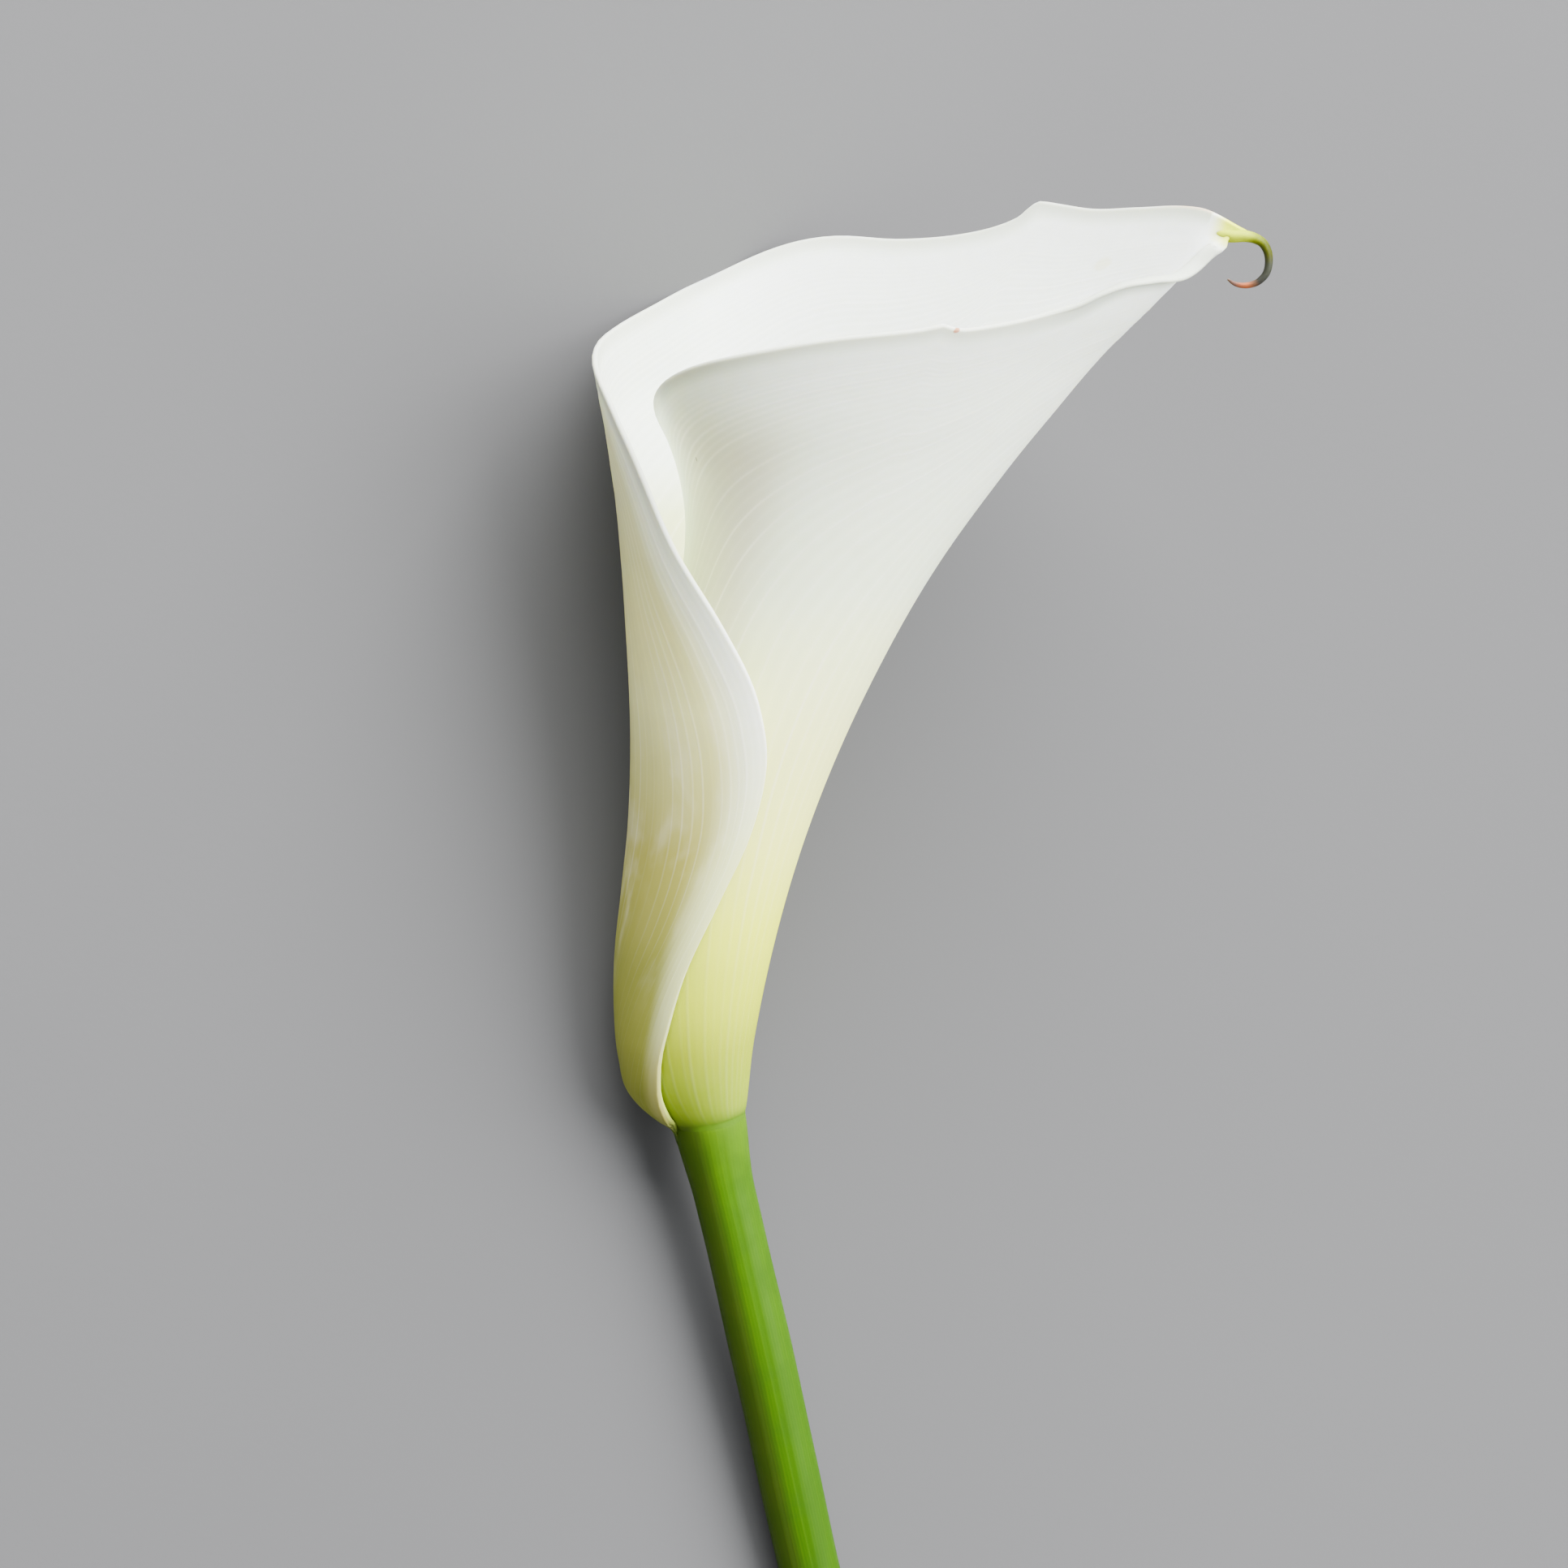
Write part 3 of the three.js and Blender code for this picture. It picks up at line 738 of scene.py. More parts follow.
def edgeDistance(points):
    # rough distance of each grid point from the free edge, mm
    outline = np.concatenate([points[0, :, :], points[:, -1, :], points[-1, ::-1, :]])
    flat = points.reshape(-1, 3)
    best = np.full(len(flat), 1e9)
    for spot in outline:
        best = np.minimum(best, ((flat - spot) ** 2).sum(axis=1))
    return np.sqrt(best).reshape(points.shape[:2])


def veinPlaces(share, rise):
    # 0 along the middle, 1 along the free edge; lines of equal value are the veins
    side = np.where(share < tipShare, -1.0, 1.0)
    away = np.where(share < tipShare, (tipShare - share) / tipShare, (share - tipShare) / (1 - tipShare))
    return side * np.clip(away, 1e-4, 1) ** (1 - np.clip(rise, 0, 1) ** 4)


def gridNormals(points):
    across = np.gradient(points, axis=0)
    along = np.gradient(points, axis=1)
    return unit(np.cross(across, along))


def veinSpacing(points, vein):
    # how far apart the veins are, mm
    stepAcross = np.linalg.norm(np.gradient(points, axis=0), axis=-1)
    stepAlong = np.linalg.norm(np.gradient(points, axis=1), axis=-1)
    change = np.hypot(np.gradient(vein, axis=0) / np.maximum(stepAcross, 1e-6),
                      np.gradient(vein, axis=1) / np.maximum(stepAlong, 1e-6))
    return np.minimum(1 / np.maximum(change * leaf["veins"], 1e-3), 6)


def pleats(vein, height, angle, spacing):
    # soft folds that follow the veins, deepen towards the tip and end where the veins meet
    wave = sum(size * np.cos(2 * np.pi * (count * vein + shift)) for count, shift, size in leaf["pleatWaves"])
    whole = sum(size for count, shift, size in leaf["pleatWaves"])
    nearTip = smoothStep(height, *leaf["tipPleatHeights"])
    nearTip = nearTip * smoothStep(np.abs(angle), *leaf["tipPleatAngles"])
    depth = leaf["pleatDepth"] * smoothStep(height, *leaf["pleatHeights"]) + leaf["tipPleatDepth"] * nearTip
    return wave * depth / whole * smoothStep(spacing, 0.3, 1.0)


def columnShares():
    # shares round the free edge, packed round the tip
    spots = np.linspace(0, 1, 2001)
    density = 1 + leaf["columnPacking"] * np.exp(-((spots - tipShare) / leaf["packedShare"]) ** 2)
    filled = np.r_[0, np.cumsum((density[1:] + density[:-1]) / 2)]
    return np.interp(np.linspace(0, 1, leaf["columns"] + 1), filled / filled[-1], spots)


def drawnOut(points, pull):
    # the leaf pulled from one spot towards another
    start, end = np.array(pull["start"]), np.array(pull["end"])
    way = unit(end - start)
    off = points - start
    near = np.exp(-(np.linalg.norm(off, axis=-1) / pull["reach"]) ** 2)[..., None]
    besideWay = off - (off @ way)[..., None] * way
    return points + near * (end - start - pull["squeeze"] * besideWay)


def leafGrid():
    # rows run from the base to the free edge; the last ones follow the lip as it rolls outward
    shares = columnShares()
    share, rise = np.meshgrid(shares, np.linspace(0, 1, 60), indexing="ij")
    sample = leafPoint(*leafFlow(share, rise))
    length = np.linalg.norm(np.diff(sample, axis=1), axis=-1).sum(axis=1)
    angleThere = edgeAngle(shares)
    lipShare = smoothStep(angleThere, *leaf["lipStart"]) * smoothStep(angleThere, *leaf["lipEnd"])
    lipTurn = np.radians(leaf["lipTurn"]) * lipShare
    radius = leaf["lipRadius"]
    foldBack = radius * np.sin(np.minimum(lipTurn, np.pi / 2))
    whole = length - foldBack + radius * lipTurn
    edgeSteps = np.array(leaf["edgeSteps"])
    shrink = np.minimum(1, 0.5 * whole / edgeSteps[0])
    fromEdge = edgeSteps[None, :] * shrink[:, None]
    main = np.linspace(0, 1, leaf["rows"] + 1)[:-1] ** leaf["rowPower"]
    mainDistance = whole[:, None] - main[None, :] * (whole - fromEdge[:, 0])[:, None]
    distance = np.concatenate([mainDistance, fromEdge], axis=1)
    share = np.repeat(shares[:, None], distance.shape[1], axis=1)
    past = np.maximum((radius * lipTurn)[:, None] - distance, 0) / radius
    flatLength = (length - foldBack)[:, None]
    rise = np.minimum(whole[:, None] - distance, flatLength) / length[:, None]
    angle, height = leafFlow(share, rise)
    points = leafPoint(angle, height)
    riseStep, shareStep = leaf["probeSteps"]
    upward = leafPoint(*leafFlow(share, rise + riseStep)) - leafPoint(*leafFlow(share, rise - riseStep))
    beside = leafPoint(*leafFlow(share + shareStep, rise)) - leafPoint(*leafFlow(share - shareStep, rise))
    along = unit(upward)
    outward = unit(np.cross(beside, upward))
    points = points + radius * (np.sin(past)[..., None] * along + (1 - np.cos(past))[..., None] * outward)
    riseWhole = 1 - distance / whole[:, None]
    vein = veinPlaces(share, riseWhole)
    folds = pleats(vein, height, angle, veinSpacing(points, vein))
    points = drawnOut(points + gridNormals(points) * folds[..., None], leaf["beak"])
    points = drawnOut(points, leaf["ear"])
    return angle, height, vein, distance, points


def onStem(points, proud):
    # the nearest place on the stem's skin, or a little over it
    line = lineThrough(stemPart["line"])
    shares = np.linspace(0.7, 1, 400)
    share = np.interp(points[..., 1], line(shares)[:, 1], shares)
    for _ in range(3):
        tangent, side, across = directions(line, share)
        along = ((points - line(share)) * tangent).sum(axis=-1)
        share = np.minimum(share + along / stemPart["length"], 1)
    center = line(share)
    off = points - center
    turn = np.arctan2((off * across).sum(axis=-1), (off * side).sum(axis=-1))
    radius = stemRadiusAt(share) + stemRelief(share, turn) + proud
    return center + radius[..., None] * (np.cos(turn)[..., None] * side + np.sin(turn)[..., None] * across)


def leafSides():
    angle, height, vein, distance, points = leafGrid()
    normals = gridNormals(points)
    rimMm = edgeDistance(points)
    rise = smoothStep(height, 0, leaf["thinHeight"])
    thick = leaf["thickness"] + (leaf["rimThickness"] - leaf["thickness"]) * rise
    near = np.clip(np.minimum(rimMm, distance) / (leaf["rimThickness"] / 2), 0, 1)
    thick = thick * np.sqrt(1 - (1 - near) ** 2)
    outer = points + normals * thick[..., None] / 2
    inner = points - normals * thick[..., None] / 2
    # the base closes smoothly on the stem
    aboveBase = height - height[:, :1]
    start = angle[:, :1]
    blend = leaf["collarBlend"] + leaf["collarLean"] * np.cos(np.radians(start))
    blend = blend - leaf["flapCollar"] * smoothStep(-start, *leaf["flapCollarOver"])
    leave = smoothStep(aboveBase / blend)[..., None]
    under, over = leaf["lapUnder"], leaf["lapOver"]
    lapped = under[0] * smoothStep(angle, *under[1:]) + over[0] * smoothStep(-angle, *over[1:])

    def closing(side, begin, rise, end):
        proud = rise * smoothStep(aboveBase, 0, end) + begin - lapped
        return onStem(side, proud) * (1 - leave) + side * leave

    outer = closing(outer, *leaf["outerProud"])
    inner = closing(inner, *leaf["innerProud"])
    closed = np.zeros(points.shape[:2], bool)
    closed[0, :] = closed[-1, :] = True
    closed[:, -1] = True
    outer[closed] = (outer[closed] + inner[closed]) / 2
    return angle, height, vein, rimMm, aboveBase, points, outer, inner, closed


def buildLeaf(material):
    angle, height, vein, rimMm, aboveBase, middle, outer, inner, closed = leafSides()
    columns, rows = middle.shape[:2]
    index = np.arange(columns * rows).reshape(columns, rows)
    loose = ~closed
    innerIndex = index.copy()
    innerIndex[loose] = columns * rows + np.arange(loose.sum())
    a, b = index[:-1, :-1], index[1:, :-1]
    c, d = index[1:, 1:], index[:-1, 1:]
    outerFaces = np.stack([a, b, c, d], axis=-1).reshape(-1, 4)
    a, b = innerIndex[:-1, :-1], innerIndex[1:, :-1]
    c, d = innerIndex[1:, 1:], innerIndex[:-1, 1:]
    innerFaces = np.stack([a, d, c, b], axis=-1).reshape(-1, 4)
    baseFaces = np.stack([index[1:, 0], index[:-1, 0], innerIndex[:-1, 0], innerIndex[1:, 0]], axis=-1)
    faces = [list(dict.fromkeys(face))
             for face in np.concatenate([outerFaces, innerFaces, baseFaces]).tolist()]
    faces = [face for face in faces if len(face) > 2]
    spacing = veinSpacing(middle, vein)
    away = middle - np.array(leaf["beak"]["end"])
    away[..., 1] = np.where(away[..., 1] < 0, leaf["tailTintDrop"], 1.0) * away[..., 1]
    reach = np.linalg.norm(away, axis=-1)
    tailTone = leaf["tailShareThere"] * np.clip(1 - reach / leaf["tailTint"], 0, 1)

    def both(numbers):
        return np.concatenate([numbers.ravel(), numbers[loose]])

    points = np.concatenate([outer.reshape(-1, 3), inner[loose]])
    values = {
        "turn": both(angle), "height": both(height), "vein": both(vein), "spacing": both(spacing),
        "rim": both(rimMm), "hem": both(aboveBase), "tail": both(tailTone),
        "inside": np.concatenate([np.where(closed, 0.5, 0.0).ravel(), np.ones(loose.sum())]),
    }
    tail, tailFaces, tailValues = buildTail(len(points))
    points = laidDown(np.concatenate([points, tail]))
    points[:, 2] = np.maximum(points[:, 2], 0)   # it rests on small flat spots
    values = {label: np.concatenate([values[label], tailValues[label]]) for label in values}
    piece = makePiece("calla_spathe", points, faces + tailFaces, values, material)
    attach(piece, "root")
    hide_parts("spathe")


def buildTail(first):
    # a thin green tail that grows out of the rolled tip and hooks back under it
    shares = np.linspace(0, 1, leaf["tailRings"])
    sides = leaf["tailSides"]
    radiusAt = smoothCurve(leaf["tailRadius"])

    def relief(share, turn):
        return leaf["tailRelief"] * np.cos(3 * turn + 4 * share) * radiusAt(share)

    points, faces = closedTube(lineThrough(leaf["tailLine"]), shares, radiusAt, sides, relief,
                               smoothCurve(leaf["tailFlatness"]), first)
    count = len(points)
    values = {
        "turn": np.zeros(count), "height": np.full(count, 128.0), "vein": np.zeros(count),
        "spacing": np.full(count, 0.2), "rim": np.full(count, 9.0), "hem": np.full(count, 99.0),
        "inside": np.zeros(count),
        "tail": np.interp(np.concatenate([np.repeat(shares, sides), [0, 1]]), *zip(*leaf["tailColors"])),
    }
    return points, faces, values


leafFinish = {
    "toneHeight": 131,        # mm at the end of the tones, which run up from the base
    "outerTones": [(0, "#6f8a02"), (0.035, "#879c04"), (0.08, "#9dab02"), (0.147, "#c7d304"),
        (0.22, "#e2ec34"), (0.31, "#f2f87a"), (0.43, "#f6fca6"), (0.54, "#f0fac8"), (0.6, "#eaf6da"),
        (0.72, "#eef8e8"), (1, "#f2faf4")],
    # the outer flap's outside: its own greener colour, darkened by painted shade
    "flapShadedTones": [(0, "#757a26"), (0.09, "#868936"), (0.18, "#87893a"), (0.31, "#a8a34c"), (0.4, "#cac878"),
        (0.47, "#e4e49a"), (0.55, "#e2e198"), (0.63, "#dadb9a"), (0.76, "#e4e5be"), (1, "#f2f8f2")],
    # the flap's pale band along its rolled edge: its own colour, lightened by painted light
    "litBandTones": [(0, "#8c8a44"), (0.06, "#a5a362"), (0.12, "#bfc48c"), (0.2, "#d6dc9c"), (0.31, "#e8f0b0"),
        (0.46, "#f8fff0"), (1, "#f2f8f4")],
    "innerTones": [(0, "#b9c852"), (0.2, "#d5dc7c"), (0.5, "#dfe49c"), (0.64, "#e4eaba"), (0.67, "#f0f8e0"),
        (0.7, "#f6fef4"), (1, "#f6fef4")],
    "tailTones": [(0, "#f2f8f0"), (0.04, "#eaf0a8"), (0.08, "#dce630"), (0.13, "#c8d600"), (0.2, "#bccc00"),
        (0.28, "#b4c200"), (0.35, "#a2b000"), (0.41, "#6d7900"), (0.49, "#3f4700"), (0.56, "#343800"),
        (0.63, "#2b2e24"), (0.77, "#262622"), (0.81, "#5a3c28"), (0.86, "#94502c"), (0.9, "#844a30"),
        (0.94, "#5c4238"), (1, "#4a3c38")],
    "hemTone": "#4a6e04",
    "hemReach": (6, 1),
    "rimShadeTone": "#b9bdae",     # painted shade: the thin margin lets light through, so it looks greyer
    "rimReach": (3.2, 0.5),
    "rimHeights": (60, 100),
    "rimShadeShare": 0.65,
    "lipTone": "#a8b0a2",     # painted shade on the rolled lip near the tip, which faces the light
    "lipReach": (3.4, 1.8),
    "lipOver": (-2, 4, 36, 60),
    "lipShare": 0.5,
    "marginTone": "#c09468",  # the far margin near the tip has dried a little
    "marginReach": (0.55, 0.1),
    "marginOver": (-38, -28, -3, 1),
    "marginShare": 0.5,
    "curlTone": "#dad9c6",    # shaded side of the leaf's inner roll
    "curlOver": (88, 114, 140, 170),
    "curlHeights": (40, 70, 97, 110),
    "curlShare": 0.8,
    "shadedTone": "#dee4dd",  # the left end of the far wall's inside
    "shadedOver": (-116, -140),
    "shadedHeights": (98, 106),
    "shadedShare": 0.9,
    # small marks: side (0 outside, 1 inside), degrees, height, half their size in both, tone, share
    "marks": [(0, 71.3, 117, 0.9, 0.4, "#a8642c", 0.8), (0, 141, 97.5, 0.35, 0.45, "#5a5434", 0.85),
        (1, 0.6, 125.3, 0.7, 0.5, "#8f9a80", 0.75), (1, -39.6, 121.2, 2.6, 1.2, "#e4dcb0", 0.4),
        (1, 1.2, 125.2, 0.5, 0.5, "#c8a888", 0.3)],
    "veinTone": "#fdfdf2",
    "veinWidth": 0.4,
    "veinShare": (15, 60, 0.04, 0.36),      # between two heights
    # painted light: the veins show paler where light comes through the shaded inner roll
    "curlVeins": 0.3,
    "hollowShadeTone": "#c2c6b0",  # painted shade in the hollows between the veins
    "hollowShadeShare": (30, 60, 0, 0.12),
    "flapOver": (-100, -170),
    "litBandStart": 0.8,
    "litBandWidth": (8, 55, 3, 8),         # of the flap's band of painted light, between two heights
    "streakScale": (9, 0.06, 0.004),          # patches drawn out along the veins: vein, height, turn
    "patchHeights": (14, 34, 56, 78),
    "patchTone": "#f2efc8",
    "patchOver": (0.5, 0.68),
    "darkOver": (0.46, 0.3),
    "patchShare": 0.28,
    "darkTone": "#b2ac66",
    "darkShare": 0.15,
    "roughness": 0.5,
    "fineClouds": {"Scale": 420.0, "Low": 0.3, "High": 0.75},
    "fineShare": 0.05,
    "cellScale": 4200.0,
    "heightShares": (0.7, 0.12),
    "wander": (40.0, 0.35),
    "bumpDepth": 0.00006,
}


def overZone(tree, value, low, full, past, end):
    # a mask that rises, stays, and falls again
    return times(tree, ranged(tree, value, low, full), ranged(tree, value, end, past))


def leafTones(tree, at, curled):
    # what lies under the veins: outside, flap and inside, with painted shade on the flap and painted light
    # along its edge
    rise = maths(tree, "DIVIDE", at["height"], leafFinish["toneHeight"])
    outer, flap, band, inner = [ramp(tree, rise, leafFinish[label])
                                for label in ("outerTones", "flapShadedTones", "litBandTones", "innerTones")]
    flowPlace = addNode(tree, "ShaderNodeCombineXYZ")
    for socket, label, scale in zip(flowPlace.inputs, ("vein", "height", "turn"), leafFinish["streakScale"]):
        feed(tree, socket, times(tree, at[label], scale))
    streaks = noise(tree, 1.0, 3.0, 0.55, flowPlace.outputs[0], 0.3)
    patchZone = overZone(tree, at["height"], *leafFinish["patchHeights"])
    pale = times(tree, ranged(tree, streaks, *leafFinish["patchOver"]), patchZone)
    dark = times(tree, ranged(tree, streaks, *leafFinish["darkOver"]), patchZone)
    flap = tinted(tree, flap, leafFinish["patchTone"], pale, leafFinish["patchShare"])
    flap = tinted(tree, flap, leafFinish["darkTone"], dark, leafFinish["darkShare"])
    # painted light along the flap's edge, painted shade further in
    litBandWidth = ranged(tree, at["height"], *leafFinish["litBandWidth"])
    flap = mixed(tree, ranged(tree, at["rim"], leafFinish["litBandStart"], litBandWidth), band, flap)
    outer = tinted(tree, outer, leafFinish["curlTone"], curled, leafFinish["curlShare"])
    shaded = times(tree, ranged(tree, at["turn"], *leafFinish["shadedOver"]),
                   ranged(tree, at["height"], *leafFinish["shadedHeights"]))
    inner = tinted(tree, inner, leafFinish["shadedTone"], shaded, leafFinish["shadedShare"])
    color = mixed(tree, ranged(tree, at["turn"], *leafFinish["flapOver"]), outer, flap)
    return mixed(tree, at["inside"], color, inner)


def leafMargins(tree, at, color):
    # painted shade on the thin rim and the rolled lip, and the dried far margin's own colour
    edge = ranged(tree, at["rim"], *leafFinish["rimReach"])
    high = ranged(tree, at["height"], *leafFinish["rimHeights"])
    color = tinted(tree, color, leafFinish["rimShadeTone"], edge, high, leafFinish["rimShadeShare"])
    for label in ("lip", "margin"):
        near = ranged(tree, at["rim"], *leafFinish[label + "Reach"])
        zone = overZone(tree, at["turn"], *leafFinish[label + "Over"])
        color = tinted(tree, color, leafFinish[label + "Tone"], near, zone, leafFinish[label + "Share"])
    return color


def leafMarks(tree, at, color):
    for side, turn, height, turnSize, heightSize, markTone, share in leafFinish["marks"]:
        mark = useGroup(tree, smallMark, Turn=at["turn"], Height=at["height"], MarkTurn=turn,
                        MarkHeight=height, TurnSize=turnSize, HeightSize=heightSize)["Mark"]
        onSide = ranged(tree, at["inside"], 0.2, 0.4) if side else ranged(tree, at["inside"], 0.8, 0.6)
        color = tinted(tree, color, markTone, mark, onSide, share)
    return color


def leafMaterial():
    material, tree, shader = newMaterial(
        "spatheLeaf", **{"IOR": 1.42, "Subsurface Weight": 0.55, "Subsurface Scale": 0.0014,
                         "Subsurface Radius": (1.0, 0.9, 0.55), "Specular IOR Level": 0.16})
    at = {label: surfaceValue(tree, label)
          for label in ("turn", "height", "vein", "spacing", "rim", "inside", "tail", "hem")}
    curled = times(tree, overZone(tree, at["turn"], *leafFinish["curlOver"]),
                   overZone(tree, at["height"], *leafFinish["curlHeights"]))
    color = leafTones(tree, at, curled)

    fine = useGroup(tree, cloudiness, **leafFinish["fineClouds"])["Cloud"]
    wander = drift(tree, *leafFinish["wander"])
    lines = useGroup(tree, fineLines, Across=times(tree, at["vein"], float(leaf["veins"])),
                     Spacing=at["spacing"], Width=leafFinish["veinWidth"], Wander=wander)
    hollowShadeShare = ranged(tree, at["height"], *leafFinish["hollowShadeShare"])
    veinShare = ranged(tree, at["height"], *leafFinish["veinShare"])
    veinShare = maths(tree, "ADD", veinShare, times(tree, curled, leafFinish["curlVeins"]))
    color = tinted(tree, color, leafFinish["hollowShadeTone"], lines["ShadedHollow"], hollowShadeShare)
    color = tinted(tree, color, leafFinish["veinTone"], lines["Line"], veinShare)
    color = tinted(tree, color, leafFinish["darkTone"], fine, leafFinish["fineShare"])
    color = leafMarks(tree, at, leafMargins(tree, at, color))

    # the green of the tail, and at the hem the colours of the stem, with its painted shade on the left
    tailColor = ramp(tree, at["tail"], leafFinish["tailTones"])
    color = mixed(tree, ranged(tree, at["tail"], 0.0, 0.005, kind="LINEAR"), color, tailColor)
    acrossStem = maths(tree, "COSINE", maths(tree, "RADIANS", at["turn"]))
    hemColor = tinted(tree, tone(leafFinish["hemTone"]), stemPart["shadedSideTone"], stemShadedSide(tree, acrossStem))
    color = mixed(tree, ranged(tree, at["hem"], *leafFinish["hemReach"]), color, hemColor)
    feed(tree, shader.inputs["Base Color"], color)
    roughness = maths(tree, "ADD", times(tree, fine, 0.08), leafFinish["roughness"])
    feed(tree, shader.inputs["Roughness"], roughness)
    heights = skinHeight(tree, leafFinish, lines["Line"])
    feed(tree, shader.inputs["Normal"], bump(tree, heights, leafFinish["bumpDepth"], 0.6))
    return material


buildLeaf(leafMaterial())
print("the leaf is built")


# spadix: ovaries below and anthers above, one column

spadix = {
    "radius": 3.3,
    "foot": 4,
    "ovaryTop": 24,
    "top": 74,
    "line": [(0.4, 4.3), (-0.8, 14), (-0.4, 26), (1.4, 42), (4.4, 60), (7.2, 74)],
    "coreRings": 60,
    "coreSides": 40,
    "turnStep": 137.508,      # degrees from one floret to the next
    "endRoom": 1 / 75,        # free share at both ends of a zone, for each mm of a floret's size
    "slimming": 0.6,
    "roundFrom": 0.94,
    "bluntness": 0.97,
    "zoneGap": 0.3,
    "shadeTone": "#8a6a18",
    "shadeShare": 0.55,
    "grains": {"Scale": 2600.0, "Low": 0.35, "High": 0.7},
    "cellScale": 6000.0,
    "bumpDepth": 0.00006,
}

# a floret's profile is (share from rim to top, radius, height)
ovaries = {
    "count": 84, "size": 1.15, "stretch": 1, "radius": 3.05, "coreRadius": 3.1, "seed": 7,
    "rows": 9, "sides": 14,
    "profile": [(0, 0.86, -0.45), (0.2, 0.98, 0), (0.45, 0.8, 0.42), (0.62, 0.5, 0.58), (0.72, 0.26, 0.66),
        (0.8, 0.24, 0.8), (0.92, 0.3, 0.95), (1, 0.12, 1)],
    "tones": [(0, "#c9cf86"), (1, "#dfe0aa")], "topTone": "#f0efd0", "roughness": 0.4,
}

anthers = {
    "count": 980, "size": 0.62, "stretch": 1.05, "coreRise": 0.02, "seed": 8,
    "rows": 5, "sides": 9,
    "profile": [(0, 0.9, -0.5), (0.35, 0.98, 0.15), (0.65, 0.84, 0.48), (0.85, 0.5, 0.6), (1, 0.14, 0.56)],
    "tones": [(0, "#c0960a"), (0.5, "#d4aa10"), (1, "#e2c028")], "topTone": "#e6c440", "roughness": 0.7,
}


def knob(zone):
    # one floret, standing on its rim
    shares, radii, heights = zip(*zone["profile"])
    rows, sides = zone["rows"], zone["sides"]
    steps = np.linspace(0, 1, rows)
    radius, height = np.interp(steps, shares, radii), np.interp(steps, shares, heights)
    turns = np.linspace(0, 2 * np.pi, sides, endpoint=False)
    rings = np.stack([radius[:, None] * np.cos(turns), radius[:, None] * np.sin(turns),
                      np.repeat(height[:, None], sides, axis=1)], axis=-1)
    points = np.concatenate([rings.reshape(-1, 3), [[0, 0, height[-1]]]])
    faces = ringFaces(rows, sides)[:, [0, 3, 2, 1]].tolist()
    return points, faces + fanFaces(rows * sides, (rows - 1) * sides, sides, False)


def setKnobs(line, shares, turns, radii, zone, rng):
    # copies of one knob on the spadix, each turned outward
    points, faces = knob(zone)
    stretch = zone["stretch"]
    allPoints, allFaces, tints = [], [], []
    for k, (share, turn, radius) in enumerate(zip(shares, turns, radii)):
        center = line(share)
        tangent, side, across = directions(line, share)
        out = side * math.cos(turn) + across * math.sin(turn)
        around = np.cross(tangent, out)
        scale = zone["size"] * rng.uniform(0.9, 1.1)
        spin = rng.uniform(-0.25, 0.25)
        u = points[:, 0] * math.cos(spin) - points[:, 1] * math.sin(spin)
        v = points[:, 0] * math.sin(spin) + points[:, 1] * math.cos(spin)
        allPoints.append(center + out * radius + scale * (
            u[:, None] * around * stretch + v[:, None] * tangent / stretch + points[:, 2:3] * out))
        allFaces.extend([[corner + k * len(points) for corner in face] for face in faces])
        tints.append(np.full(len(points), rng.uniform()))
    tops = np.tile(points[:, 2] / points[:, 2].max(), len(allPoints))
    return np.concatenate(allPoints), allFaces, np.concatenate(tints), tops


def buildZone(name, node, zone, start, end, radiusAt, coreRadiusAt, material):
    line = lineThrough(spadix["line"])
    order = (np.arange(zone["count"]) + 0.5) / zone["count"]
    margin = zone["size"] * spadix["endRoom"]
    shares = start + margin + (end - start - 2 * margin) * order
    turns = np.arange(zone["count"]) * math.radians(spadix["turnStep"])
    points, faces, tints, tops = setKnobs(line, shares, turns, radiusAt(shares), zone,
                                          np.random.default_rng(zone["seed"]))
    core, coreFaces = closedTube(line, np.linspace(start, end, spadix["coreRings"]), coreRadiusAt,
                                 spadix["coreSides"])
    faces += [[corner + len(points) for corner in face] for face in coreFaces]
    values = {"tint": np.concatenate([tints, np.full(len(core), 0.3)]),
              "top": np.concatenate([tops, np.zeros(len(core))])}
    points = np.concatenate([points, core])
    piece = makePiece(name, laidDown(points), faces, values, material)
    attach(piece, "root")
    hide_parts(node)


def spadixMaterial(name, zone):
    material, tree, shader = newMaterial(
        name, **{"Subsurface Weight": 0.2, "Subsurface Scale": 0.0008, "Subsurface Radius": (1.0, 0.8, 0.3)})
    tint, top = surfaceValue(tree, "tint"), surfaceValue(tree, "top")
    color = tinted(tree, ramp(tree, tint, zone["tones"]), zone["topTone"], ranged(tree, top, 0.7, 1.0))
    # painted shade down between the florets
    low = maths(tree, "SUBTRACT", 1.0, ranged(tree, top, -0.4, 0.3))
    color = mixed(tree, low, color, tinted(tree, color, spadix["shadeTone"], spadix["shadeShare"]))
    grains = useGroup(tree, cloudiness, **spadix["grains"])["Cloud"]
    color = tinted(tree, color, zone["topTone"], grains, 0.3)
    feed(tree, shader.inputs["Base Color"], color)
    roughness = ranged(tree, grains, 0.0, 1.0, zone["roughness"], zone["roughness"] + 0.15, "LINEAR")
    feed(tree, shader.inputs["Roughness"], roughness)
    cells = useGroup(tree, skinCells, Scale=spadix["cellScale"])["Height"]
    feed(tree, shader.inputs["Normal"], bump(tree, cells, spadix["bumpDepth"], 0.8))
    return material


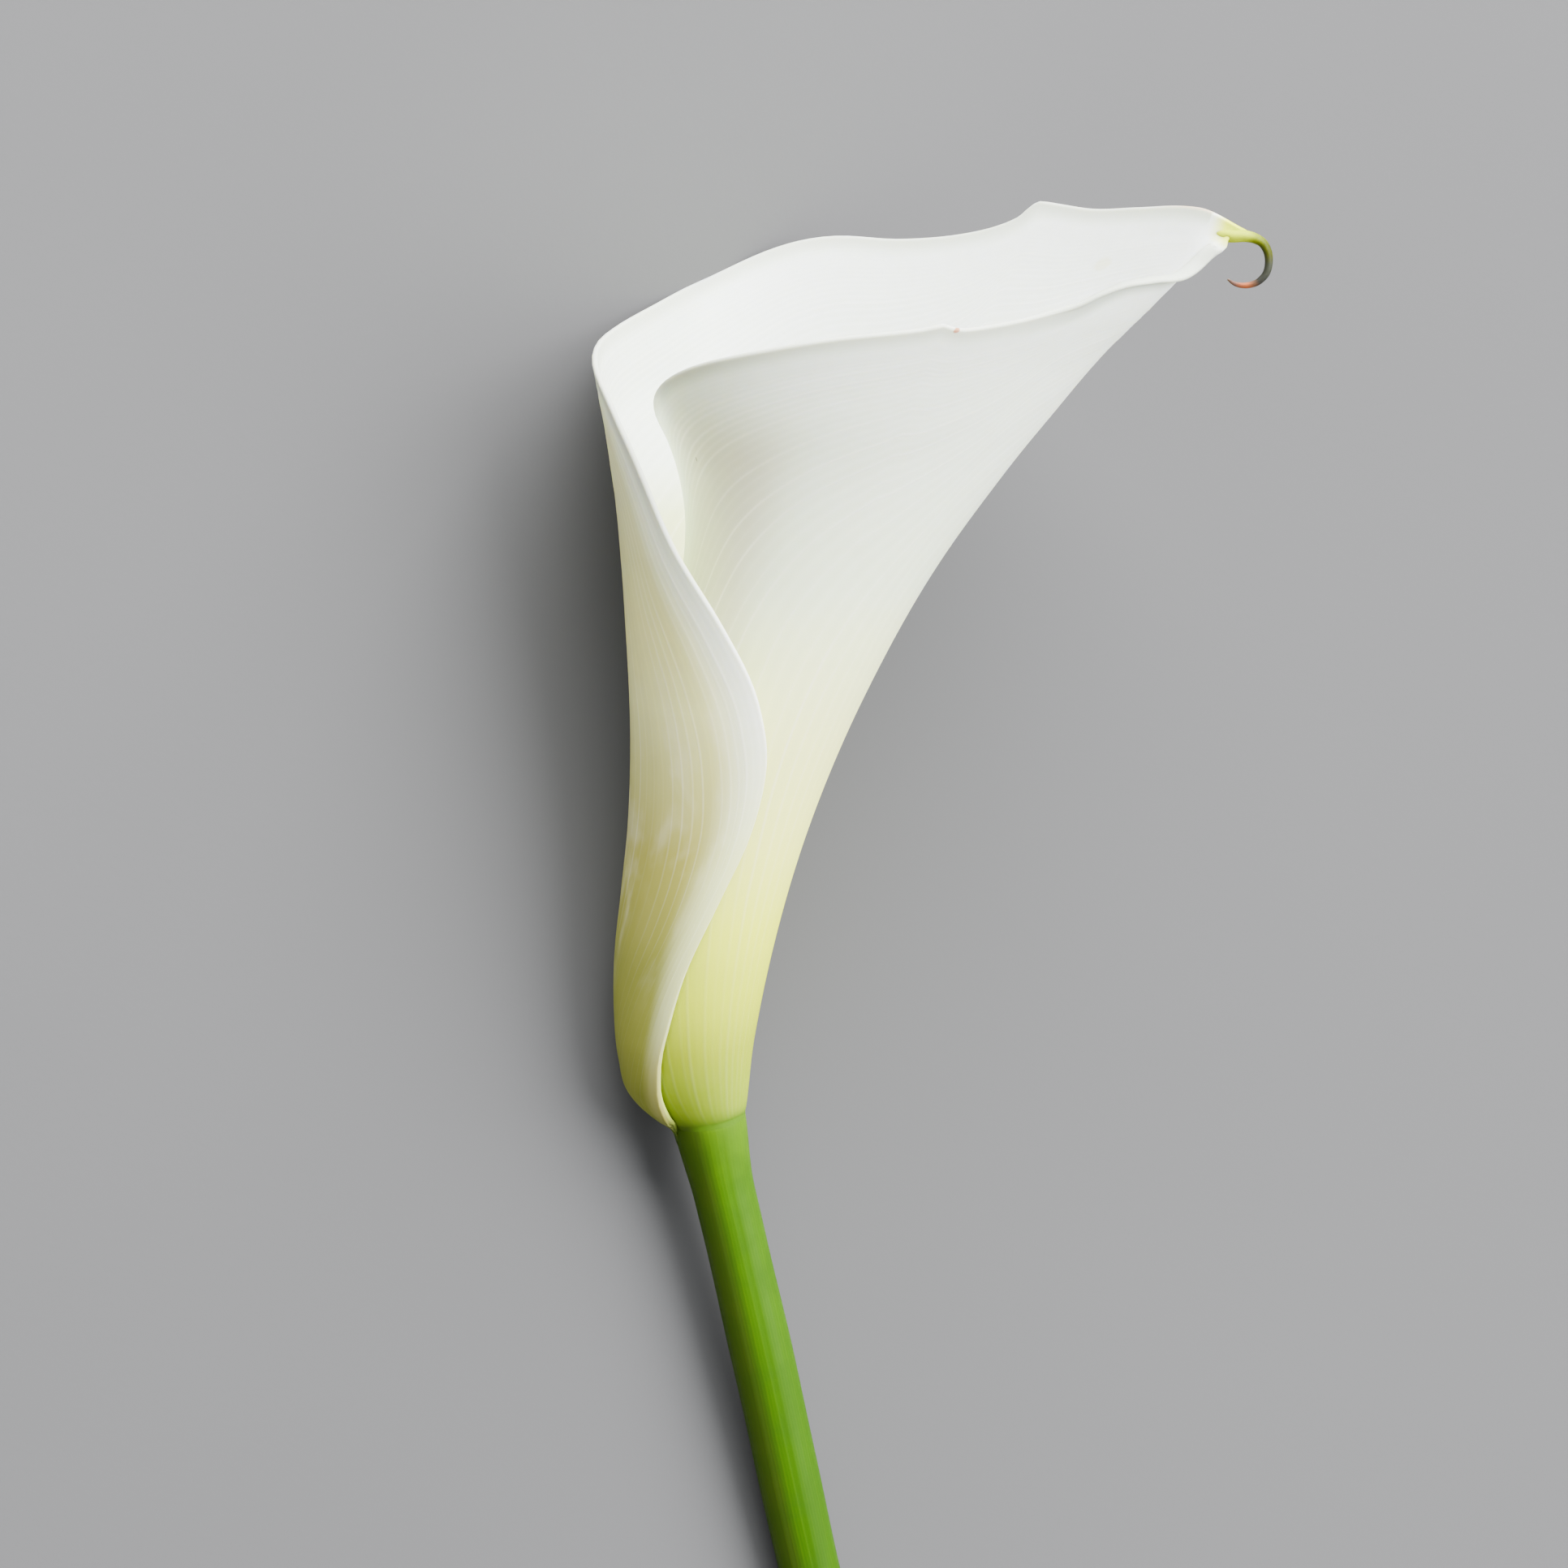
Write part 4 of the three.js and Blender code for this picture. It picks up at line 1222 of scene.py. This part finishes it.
def buildSpadix():
    length = spadix["top"] - spadix["foot"]
    split = (spadix["ovaryTop"] - spadix["foot"]) / length
    buildZone("calla_ovaries", "spadix_ovaries", ovaries, 0.0, split,
              lambda share: ovaries["radius"] + 0 * share, lambda share: ovaries["coreRadius"] + 0 * share,
              spadixMaterial("ovarySkin", ovaries))

    def taper(share):
        slim = spadix["radius"] - spadix["slimming"] * share
        past = np.clip((share - spadix["roundFrom"]) / (1 - spadix["roundFrom"]), 0, spadix["bluntness"])
        return slim * np.sqrt(1 - past ** 2)

    buildZone("calla_anthers", "spadix_anthers", anthers, split + spadix["zoneGap"] / length, 1.0,
              taper, lambda share: taper(share) + anthers["coreRise"],
              spadixMaterial("antherPollen", anthers))


buildSpadix()
print("the spadix is built")


# floor

floorPart = {
    "halfSize": 4,
    "cells": 40,
    "depth": 0.00002,         # it lies just under the flower's lowest spots
    "tone": "#505051",
    "cloudTone": "#b5b5b6",
    "cloudShare": 0.02,
    "roughness": 0.85,
}


def floorMaterial():
    material, tree, shader = newMaterial(
        "plainFloor", **{"Specular IOR Level": 0.25, "Roughness": floorPart["roughness"]})
    clouds = useGroup(tree, cloudiness, Scale=3.0, Low=0.3, High=0.7)["Cloud"]
    color = tinted(tree, tone(floorPart["tone"]), floorPart["cloudTone"], clouds, floorPart["cloudShare"])
    feed(tree, shader.inputs["Base Color"], color)
    grain = noise(tree, 900.0, vector=objectPlace(tree))
    feed(tree, shader.inputs["Normal"], bump(tree, grain, 0.00005, 0.3))
    return material


def buildFloor():
    places = np.linspace(-floorPart["halfSize"], floorPart["halfSize"], floorPart["cells"] + 1)
    x, y = np.meshgrid(places, places, indexing="ij")
    points = np.stack([x, y, np.full_like(x, -floorPart["depth"])], axis=-1).reshape(-1, 3)
    side = floorPart["cells"] + 1
    i, j = np.meshgrid(np.arange(side - 1), np.arange(side - 1), indexing="ij")
    a = (i * side + j).ravel()
    faces = np.stack([a, a + side, a + side + 1, a + 1], axis=-1).tolist()
    makePiece("floor", points, faces, {}, floorMaterial())


buildFloor()
print("the floor is laid")
